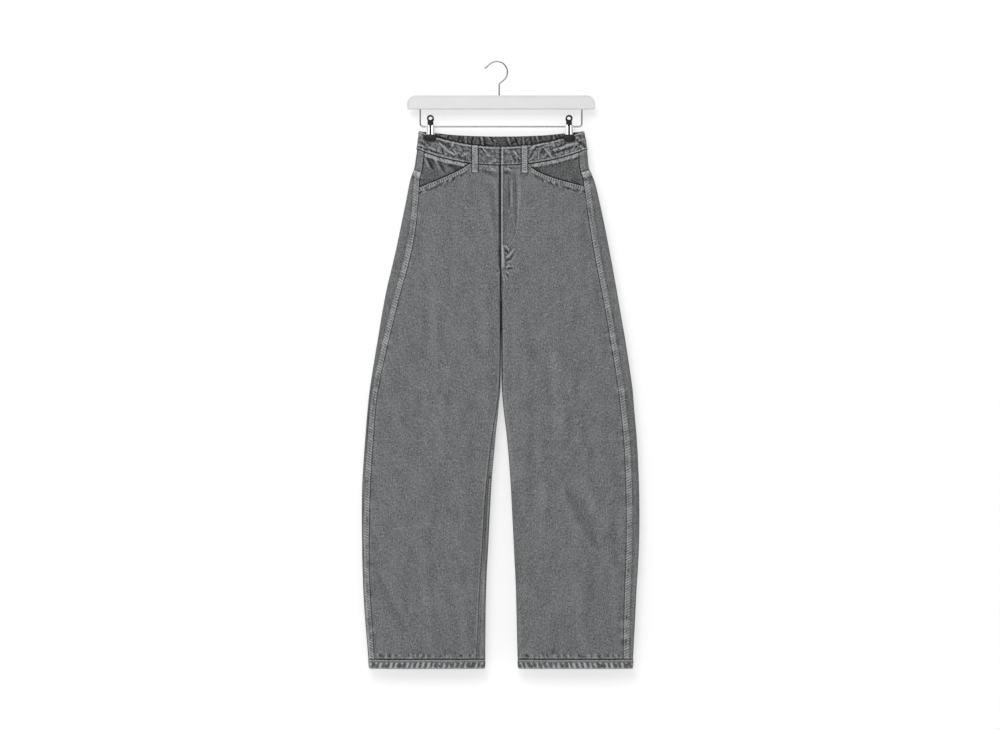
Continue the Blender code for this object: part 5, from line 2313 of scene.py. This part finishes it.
    def build(self) -> None:
        """Build every piece of the garment."""
        for side in Side:
            self.front_panel(side)
            self.back_panel(side)
            self.back_yoke(side)
            self.pocket_facing(side)
            self.waistband(side)
            self.hem(side)
        for place in self.loops:
            self.belt_loop(place)
        self.sew()


# The hanger


def tube(path: Array, radius: float, sides: int = 14) -> tuple[Array, list[tuple[int, ...]]]:
    """Round bar along a path in the XZ plane, with domed ends.

    Args:
        path: points (x, z).
        radius: the bar's radius.
        sides: points round it.

    Returns:
        Its points and faces.
    """
    path = np.array(path, dtype=float)
    tangent = np.gradient(path, axis=0)
    tangent /= np.linalg.norm(tangent, axis=1, keepdims=True)
    stations = []
    dome = np.linspace(0.0, math.pi / 2, 5)[:-1]
    for a in dome:
        stations.append((path[0] - tangent[0] * radius * math.cos(a), tangent[0], radius * math.sin(a)))
    stations += [(p, t, radius) for p, t in zip(path, tangent)]
    for a in dome[::-1]:
        stations.append((path[-1] + tangent[-1] * radius * math.cos(a), tangent[-1], radius * math.sin(a)))
    points = []
    for place, (tx, tz), size in stations:
        for k in range(sides):
            turn = 2 * math.pi * k / sides
            out, deep = size * math.cos(turn), size * math.sin(turn)
            points.append((place[0] - tz * out, deep, place[1] + tx * out))
    faces = ring_faces(len(stations) - 1, sides, 1)
    first, last = 0, (len(stations) - 1) * sides
    for k in range(sides):
        n = (k + 1) % sides
        faces.append((first, sides + n, sides + k))
        faces.append((last, last - sides + k, last - sides + n))
    return np.array(points), faces


def tidy(piece: Object) -> Object:
    """Merge doubles, drop loose points and turn all faces outwards.

    Args:
        piece: the piece.

    Returns:
        The same piece.
    """
    work = bmesh.new()
    work.from_mesh(piece.data)
    bmesh.ops.remove_doubles(work, verts=work.verts, dist=1e-6)
    bmesh.ops.delete(work, geom=[v for v in work.verts if not v.link_faces], context="VERTS")
    bmesh.ops.recalc_face_normals(work, faces=work.faces)
    work.to_mesh(piece.data)
    work.free()
    return piece


def arc(
    centre: Sequence[float], radius: float, start: float, end: float, steps: int
) -> list[tuple[float, float]]:
    """Points of an arc, angles in degrees from +X."""
    angles = np.radians(np.linspace(start, end, steps + 1))
    return [(centre[0] + radius * math.cos(a), centre[1] + radius * math.sin(a)) for a in angles]


def smooth_path(points: Sequence[tuple[float, float]], step: float) -> Array:
    """Resample a path along a smooth curve through its points.

    Args:
        points: the points (x, z).
        step: distance between the new ones.

    Returns:
        The new points.
    """
    marks = np.array(points, dtype=float)
    run = np.concatenate([[0.0], np.cumsum(np.linalg.norm(np.diff(marks, axis=0), axis=1))])
    at = np.linspace(0.0, run[-1], max(int(run[-1] / step), 2) + 1)
    tracks = [Track(tuple(run), tuple(marks[:, axis])) for axis in (0, 1)]
    return np.stack([track.at(at) for track in tracks], axis=-1)


@dataclass
class Hanger:
    """Clip hanger: moulded bar, wire hook and rod, and two clips.

    jaw_rows and stem_rows hold z, how far out of clip_face, and half width, from the top
    down. handle_profile goes round the ring's section from its edge to its hole and back,
    and pad_profile goes out from the cloth, with the pad's size there.
    """

    form: TrouserForm
    bar_width: float = 0.376
    bar_top: float = -0.0666
    bar_height: float = 0.0276
    bar_depth: float = 0.010
    upper_radius: float = 0.017
    lower_radius: float = 0.003
    wire: float = 0.0015
    hook_radius: float = 0.0212
    stem_x: float = 0.0048
    socket: float = 0.012
    rod_half: float = 0.1616
    rod_z: float = -0.1288
    rod_bend: float = 0.006
    pad_width: float = 0.0225
    pad_height: float = 0.0132
    pad_depth: float = 0.0028
    pad_top: float = -0.1448
    clip_face: float = 0.0061
    bar_ease: float = 0.0016
    bar_sunk: float = 0.0005
    hook_neck: tuple[tuple[float, float], ...] = (
        (0.0048, -0.0450), (0.0052, -0.0434), (0.0064, -0.0417),
        (0.0090, -0.0396), (0.0132, -0.0366), (0.0172, -0.0322),
    )
    hook_tip: tuple[tuple[float, float], ...] = ((-0.0030, -0.0026), (-0.0062, -0.0056), (-0.0092, -0.0078))
    jaw_rows: tuple[tuple[float, float, float], ...] = (
        (-0.1225, 0.0006, 0.0052), (-0.1250, 0.0, 0.0060), (-0.1268, 0.0, 0.0074), (-0.1330, 0.0, 0.0078),
        (-0.1400, 0.0, 0.0078), (-0.1470, 0.0, 0.0080), (-0.1535, 0.0, 0.0080),
    )
    stem_rows: tuple[tuple[float, float, float], ...] = (
        (-0.1180, 0.0016, 0.0052), (-0.1200, 0.0014, 0.0053), (-0.1240, 0.0012, 0.0055),
        (-0.1256, 0.0012, 0.0048), (-0.1268, 0.0012, 0.0026), (-0.1300, 0.0012, 0.0020),
        (-0.1440, 0.0012, 0.0019), (-0.1475, 0.0012, 0.0019),
    )
    handle_radius: float = 0.0070
    handle_z: float = -0.1130
    handle_hole: float = 0.0040
    handle_hole_z: float = -0.1122
    handle_thick: float = 0.0018
    handle_profile: tuple[tuple[float, float], ...] = (
        (0.0, 0.25), (0.08, 0.85), (0.25, 1.0), (0.75, 1.0), (0.92, 0.85),
        (1.0, 0.25), (1.0, -0.25), (0.9, -0.6), (0.1, -0.6), (0.0, -0.25),
    )
    pad_profile: tuple[tuple[float, float], ...] = (
        (0.0, 0.86), (0.10, 0.96), (0.25, 1.0), (0.70, 1.0), (0.86, 0.97), (0.95, 0.90), (1.0, 0.80),
    )
    pad_points: int = 48
    pad_square: float = 3.4
    coil_radius: float = 0.0048
    coil_length: float = 0.0112
    coil_wire: float = 0.00055
    plastic: MouldedPlastic = MouldedPlastic("white_plastic", (0.55,) * 3, (0.60,) * 3, 0.38, 0.006)
    rubber: MouldedPlastic = MouldedPlastic(
        "clip_rubber", (0.004, 0.004, 0.004), (0.011, 0.011, 0.012), 0.50, 0.010, 0.22
    )
    wire_chrome: Chrome = Chrome("wire_chrome", (0.15, 0.15, 0.153), (0.25, 0.25, 0.254), 0.22)
    jaw_chrome: Chrome = Chrome("jaw_chrome", (0.95, 0.95, 0.95), (1.0, 1.0, 1.0), 0.16)

    def __post_init__(self) -> None:
        """Make the finishes."""
        self.paint = {
            "plastic": self.plastic.make(),
            "rubber": self.rubber.make(),
            "wire": self.wire_chrome.make(),
            "jaw": self.jaw_chrome.make(),
        }

    def outline(self, inset: float) -> list[tuple[float, float]]:
        """Draw the bar's outline.

        Args:
            inset: how far it is drawn in.

        Returns:
            Its points (x, z).
        """
        half, low = self.bar_width / 2 - inset, self.bar_top - self.bar_height + inset
        top = self.bar_top - inset
        upper, lower = self.upper_radius - inset, max(self.lower_radius - inset, 0.0008)
        cx = self.form.centre_x
        points = arc((cx + half - upper, top - upper), upper, 0.0, 90.0, 12)
        points += arc((cx - half + upper, top - upper), upper, 90.0, 180.0, 12)
        points += arc((cx - half + lower, low + lower), lower, 180.0, 270.0, 6)
        points += arc((cx + half - lower, low + lower), lower, 270.0, 360.0, 6)
        return points

    def bar(self) -> None:
        """Moulded bar: eased edges, and a lip that runs round a faintly sunk face."""
        half, ease, sunk = self.bar_depth / 2, self.bar_ease, self.bar_depth / 2 - self.bar_sunk
        profile = [(0.0, 0.0)]
        for a in np.linspace(0, math.pi / 2, 6):
            profile.append((ease * (1 - math.cos(a)), half - ease + ease * math.sin(a)))
        profile += [(0.0030, half), (0.0034, half - 0.0002), (0.0038, sunk), (0.0046, sunk)]
        sections = [(inset, -depth) for inset, depth in profile[:0:-1]] + profile
        layers = [[(x, depth, z) for x, z in self.outline(inset)] for inset, depth in sections]
        faces = capped_faces(len(layers), len(layers[0]))
        piece = tidy(mesh_piece("hanger_bar_moulded", np.array(layers), faces, self.paint["plastic"]))
        piece.data.set_sharp_from_angle(angle=math.radians(40))
        dress(piece, ["hanger_bar"])

    def wire_piece(self, name: str, path: Array, node: str) -> None:
        """Bend wire along a path and dress it.

        Args:
            name: the piece's name.
            path: its points (x, z).
            node: the CAD node that it replaces.
        """
        points, faces = tube(path, self.wire)
        dress(tidy(mesh_piece(name, points, faces, self.paint["wire"])), [node])

    def hook(self) -> None:
        """Wire hook with a cranked neck."""
        centre = (0.0, self.wire - self.hook_radius)
        bend = list(self.hook_neck) + arc(centre, self.hook_radius, -22.0, 132.0, 24)
        end_x, end_z = bend[-1]
        bend += [(end_x + x, end_z + z) for x, z in self.hook_tip]
        path = [(self.stem_x, self.bar_top - self.socket + 0.001), (self.stem_x, self.bar_top)]
        path = np.concatenate([np.array(path), smooth_path(bend, 0.0016)])
        self.wire_piece("hanger_hook_wire", path, "hanger_hook")

    def rod(self) -> None:
        """Wire rod that the clips ride on, a flat U with bent corners."""
        top = self.bar_top - self.bar_height + self.socket - 0.001
        left, right = self.form.centre_x - self.rod_half, self.form.centre_x + self.rod_half
        corner = self.rod_z + self.rod_bend
        path = [(left, top), (left, top - 0.02)]
        path += arc((left + self.rod_bend, corner), self.rod_bend, 180.0, 270.0, 9)
        path += arc((right - self.rod_bend, corner), self.rod_bend, 270.0, 360.0, 9)
        path += [(right, top - 0.02), (right, top)]
        self.wire_piece("hanger_rod_wire", path, "hanger_rod")

    def plate(
        self, name: str, rows: Sequence[tuple[float, float, float]], face: Face, x: float, thick: float,
        dish: float, paint: str,
    ) -> Object:
        """Pressed plate down a clip.

        Args:
            name: the piece's name.
            rows: its z, depth out of the clip's face and half width, from the top down.
            face: the face it is on.
            x: the clip's place.
            thick: the sheet's thickness.
            dish: how far its long edges turn in.
            paint: its finish.

        Returns:
            The piece.
        """
        rows = [(z, self.clip_face + out, half) for z, out, half in rows]
        shares = np.linspace(-1.0, 1.0, 15)
        run = [0.0]
        for a, b in zip(rows, rows[1:]):
            run.append(run[-1] + math.hypot(a[0] - b[0], a[1] - b[1]))
        tracks = [Track(tuple(run), tuple(row[k] for row in rows)) for k in range(3)]
        steps = np.linspace(0.0, run[-1], int(run[-1] / 0.0007) + 2)
        z, depth, half = (track.at(steps)[:, None] for track in tracks)
        outer_y = depth + thick - dish * np.abs(shares) ** 4
        inner_y = depth - dish * np.abs(shares) ** 4
        across = -face.value * shares * half
        outer = np.stack([x + across, face.value * outer_y, z + 0 * across], axis=-1)
        inner = np.stack([x + across, face.value * inner_y, z + 0 * across], axis=-1)
        shell = Shell(outer, inner, False, 0.0003)
        blank = np.zeros(across.shape)
        made = shell.build(
            name, self.paint[paint], False, np.stack([across, z + 0 * across], axis=-1),
            (blank, blank), np.zeros((*across.shape, 3)),
        )
        return tidy(made)

    def clip(self, side: Side) -> None:
        """One clip: ring handles, sprung jaws, soft pads and a wound spring.

        Args:
            side: its side.
        """
        x = self.form.centre_x + self.form.clip_x[side]
        for face in Face:
            tail = f"{face.name.lower()}_{side.value}"
            jaw = self.plate("clip_jaw_" + tail + "_plate", self.jaw_rows, face, x, 0.0012, 0.0012, "jaw")
            dress(jaw, ["clip_jaw_" + tail])
            dress(self.handle("clip_handle_" + tail, face, x))
            dress(self.pad("clip_pad_" + tail + "_shown", face, x), ["clip_pad_" + tail])
        dress(self.spring(side, x), ["clip_spring_" + side.value])

    def handle(self, name: str, face: Face, x: float) -> Object:
        """Coated handle: a ring to press, a short body and a stem down the jaw.

        Args:
            name: the piece's name.
            face: the face it is on.
            x: the clip's place.

        Returns:
            The piece.
        """
        turns = np.linspace(0.0, 2 * math.pi, 36, endpoint=False) + math.pi / 2
        outer, hole = self.handle_radius, self.handle_hole
        edge = [(outer * math.cos(t), self.handle_z + outer * math.sin(t)) for t in turns]
        rim = [(hole * math.cos(t), self.handle_hole_z + hole * 0.95 * math.sin(t)) for t in turns]
        points = []
        for share, up in self.handle_profile:
            for (edge_x, edge_z), (rim_x, rim_z) in zip(edge, rim):
                px, pz = lerp(edge_x, rim_x, share), lerp(edge_z, rim_z, share)
                out = self.clip_face + 0.0012 + 0.0020 * float(smoothstep((pz + 0.1245) / 0.016))
                points.append((x + px, face.value * (out + self.handle_thick / 2 * up), pz))
        quads = ring_faces(len(self.handle_profile) + 1, len(turns))
        faces = [tuple(corner % len(points) for corner in quad) for quad in quads]
        ring = tidy(mesh_piece(name, np.array(points), faces, self.paint["rubber"]))
        body = self.plate(name + "_stem", self.stem_rows, face, x, 0.0011, 0.0004, "rubber")
        return self.joined(ring, body)

    def joined(self, first: Object, second: Object) -> Object:
        """Put two closed shells in one piece.

        Args:
            first: the shell that is kept.
            second: the shell that is added and removed.

        Returns:
            The first, with both.
        """
        work = bmesh.new()
        work.from_mesh(first.data)
        work.from_mesh(second.data)
        work.to_mesh(first.data)
        work.free()
        bpy.data.objects.remove(second)
        first.data.shade_smooth()
        return first

    def pad(self, name: str, face: Face, x: float) -> Object:
        """Soft pad with round ends, pressed on the waistband and wrapped over the jaw.

        Args:
            name: the piece's name.
            face: the face it is on.
            x: the clip's place.

        Returns:
            The piece.
        """
        half, tall, square = self.pad_width / 2, self.pad_height / 2, self.pad_square
        inner_y = self.form.pinch_half + self.form.band_proud + self.form.gap
        deep = self.pad_depth + 0.0030
        middle = self.pad_top - tall
        points = []
        for share, size in self.pad_profile:
            y = face.value * (inner_y + deep * share)
            for k in range(self.pad_points):
                turn = 2 * math.pi * k / self.pad_points
                cx, cz = math.cos(turn), math.sin(turn)
                shape = (abs(cx) ** square + abs(cz) ** square) ** (-1 / square)
                px = x + half * cx * shape * (1 - (1 - size) * 0.5)
                points.append((px, y, middle + tall * cz * shape * size))
        faces = capped_faces(len(self.pad_profile), self.pad_points)
        made = tidy(mesh_piece(name, np.array(points), faces, self.paint["rubber"]))
        made.data.set_sharp_from_angle(angle=math.radians(50))
        return made

    def spring(self, side: Side, x: float) -> Object:
        """Spring wound round the rod between the jaws.

        Args:
            side: the clip's side.
            x: the clip's place.

        Returns:
            The piece.
        """
        source = add_object("spring_start_" + side.value, bpy.data.meshes.new("spring_start"))
        values = {
            "Turns": 8.0,
            "Coil Radius": self.coil_radius,
            "Coil Length": self.coil_length,
            "Wire Radius": self.coil_wire,
            "Chrome": self.paint["wire"],
        }
        made = grown(source, "clip_spring_" + side.value + "_wound", spring_tree(), values)
        work = bmesh.new()
        work.from_mesh(made.data)
        for vert in work.verts:
            px, py, pz = vert.co
            vert.co = (x + pz - self.coil_length / 2, py, self.rod_z + px)
        bmesh.ops.recalc_face_normals(work, faces=work.faces)
        work.to_mesh(made.data)
        work.free()
        return made

    def build(self) -> None:
        """Build every piece of the hanger."""
        self.bar()
        self.hook()
        self.rod()
        for side in Side:
            self.clip(side)


def spring_tree() -> NodeTree:
    """Build the tree that winds a wire into a close coil along +Z.

    Returns:
        The tree, the same one at each call.
    """
    name = "wound_spring"
    if name in bpy.data.node_groups:
        return bpy.data.node_groups[name]
    graph, given, result = new_tree(
        name,
        (
            ("Turns", "NodeSocketFloat", 8.0),
            ("Coil Radius", "NodeSocketFloat", 0.005),
            ("Coil Length", "NodeSocketFloat", 0.011),
            ("Wire Radius", "NodeSocketFloat", 0.0005),
            ("Chrome", "NodeSocketMaterial", None),
        ),
    )
    coil = graph.add(
        "GeometryNodeCurveSpiral",
        {},
        {
            "Resolution": 20,
            "Rotations": given.outputs["Turns"],
            "Start Radius": given.outputs["Coil Radius"],
            "End Radius": given.outputs["Coil Radius"],
            "Height": given.outputs["Coil Length"],
        },
    )
    values = {"Resolution": 8, "Radius": given.outputs["Wire Radius"]}
    round_wire = graph.add("GeometryNodeCurvePrimitiveCircle", {"mode": "RADIUS"}, values)
    body = graph.add(
        "GeometryNodeCurveToMesh",
        {},
        {"Curve": coil.outputs[0], "Profile Curve": round_wire.outputs[0], "Fill Caps": True},
    )
    close_tree(graph, body.outputs[0], given.outputs["Chrome"], result)
    return graph.tree


# The studio


@dataclass
class Studio:
    """White wall close behind, pale floor, soft lights and the photograph's camera.

    lamps hold each light's name, place, size and power.
    """

    aim: tuple[float, float, float] = (0.0064, 0.0, -0.6056)
    distance: float = 6.0
    lens: float = 108.0
    wall_y: float = 0.034
    wall_glow: float = 0.50
    wall_tone: float = 0.50
    floor_tone: float = 0.90
    floor_z: float = -1.45
    world: float = 0.44
    sensor: float = 36.0
    lamps: tuple[tuple[str, tuple[float, float, float], tuple[float, float], float], ...] = (
        ("key_softbox", (-0.5, -3.2, 1.25), (1.7, 1.7), 73.0),
        ("front_softbox", (0.2, -7.0, 0.3), (3.0, 3.0), 40.0),
        ("fill_left", (-3.0, -2.0, -0.4), (1.5, 2.0), 10.0),
        ("back_fill", (0.6, 3.2, 0.6), (2.0, 2.0), 10.0),
    )

    def white(self, name: str, one_sided: bool) -> Material:
        """Matt white, with the faint unevenness of a painted surface.

        Args:
            name: the material's name.
            one_sided: whether it is clear from behind, so that it never hides the back.

        Returns:
            The material.
        """
        s = Surface.start(name)
        uneven = s.noise(s.object_mm(), (240.0, 240.0, 240.0), 1.0)
        tone = self.wall_tone if one_sided else self.floor_tone
        shader = s.graph.add(
            "ShaderNodeBsdfPrincipled",
            {},
            {
                "Base Color": s.blend(uneven * 0.3 + 0.5, (tone - 0.01,) * 3, (tone + 0.01,) * 3),
                "Roughness": 0.95,
                "Emission Color": (1.0, 1.0, 1.0, 1.0),
                "Emission Strength": self.wall_glow if one_sided else 0.0,
            },
        )
        shown = shader.outputs[0]
        if one_sided:
            clear = s.graph.add("ShaderNodeBsdfTransparent")
            facing = s.graph.add("ShaderNodeNewGeometry")
            mix = s.graph.add(
                "ShaderNodeMixShader", {}, {0: facing.outputs["Backfacing"], 1: shown, 2: clear.outputs[0]}
            )
            shown = mix.outputs[0]
        s.graph.add("ShaderNodeOutputMaterial", {}, {"Surface": shown})
        return s.material

    def backdrop(self) -> None:
        """Wall and floor."""
        half, near, far, high = 4.0, -5.0, 4.0, 3.0
        low, back = self.floor_z, self.wall_y
        wall = [(-half, back, low), (half, back, low), (half, back, high), (-half, back, high)]
        floor = [(-half, near, low), (half, near, low), (half, far, low), (-half, far, low)]
        mesh_piece("studio_wall", np.array(wall), [(0, 1, 2, 3)], self.white("wall_white", True))
        mesh_piece("studio_floor", np.array(floor), [(0, 1, 2, 3)], self.white("floor_white", False))

    def light(self, name: str, place: Sequence[float], size: Sequence[float], power: float) -> None:
        """Add a soft area light that looks at the garment.

        Args:
            name: its name.
            place: where it stands.
            size: its width and height.
            power: its power in watts.
        """
        data = bpy.data.lights.new(name, "AREA")
        data.shape, data.size, data.size_y, data.energy = "RECTANGLE", size[0], size[1], power
        lamp = bpy.data.objects.new(name, data)
        bpy.context.scene.collection.objects.link(lamp)
        lamp.location = place
        lamp.rotation_euler = (Vector(self.aim) - Vector(place)).to_track_quat("-Z", "Y").to_euler()

    def build(self) -> None:
        """Build the studio."""
        scene = bpy.context.scene
        self.backdrop()
        for lamp in self.lamps:
            self.light(*lamp)
        world = bpy.data.worlds.new("studio_air")
        world.use_nodes = True
        graph = Graph(world.node_tree)
        world.node_tree.nodes.clear()
        air = graph.add("ShaderNodeBackground", {}, {"Color": (1.0, 1.0, 1.0, 1.0), "Strength": self.world})
        graph.add("ShaderNodeOutputWorld", {}, {"Surface": air.outputs[0]})
        scene.world = world
        scene.view_settings.view_transform = "Standard"
        data = bpy.data.cameras.new("photo_camera")
        data.lens, data.sensor_width = self.lens, self.sensor
        data.clip_end = 40.0
        camera = bpy.data.objects.new("photo_camera", data)
        scene.collection.objects.link(camera)
        camera.location = (self.aim[0], -self.distance, self.aim[2])
        camera.rotation_euler = (math.pi / 2, 0.0, 0.0)
        scene.camera = camera


def main() -> None:
    """Build the trousers, their hanger and the studio."""
    logging.basicConfig(level=logging.INFO, format="%(name)s: %(message)s")
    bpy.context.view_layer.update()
    trousers = Trousers()
    Hanger(trousers.form).build()
    trousers.build()
    Studio().build()


if __name__ == "__main__":
    main()
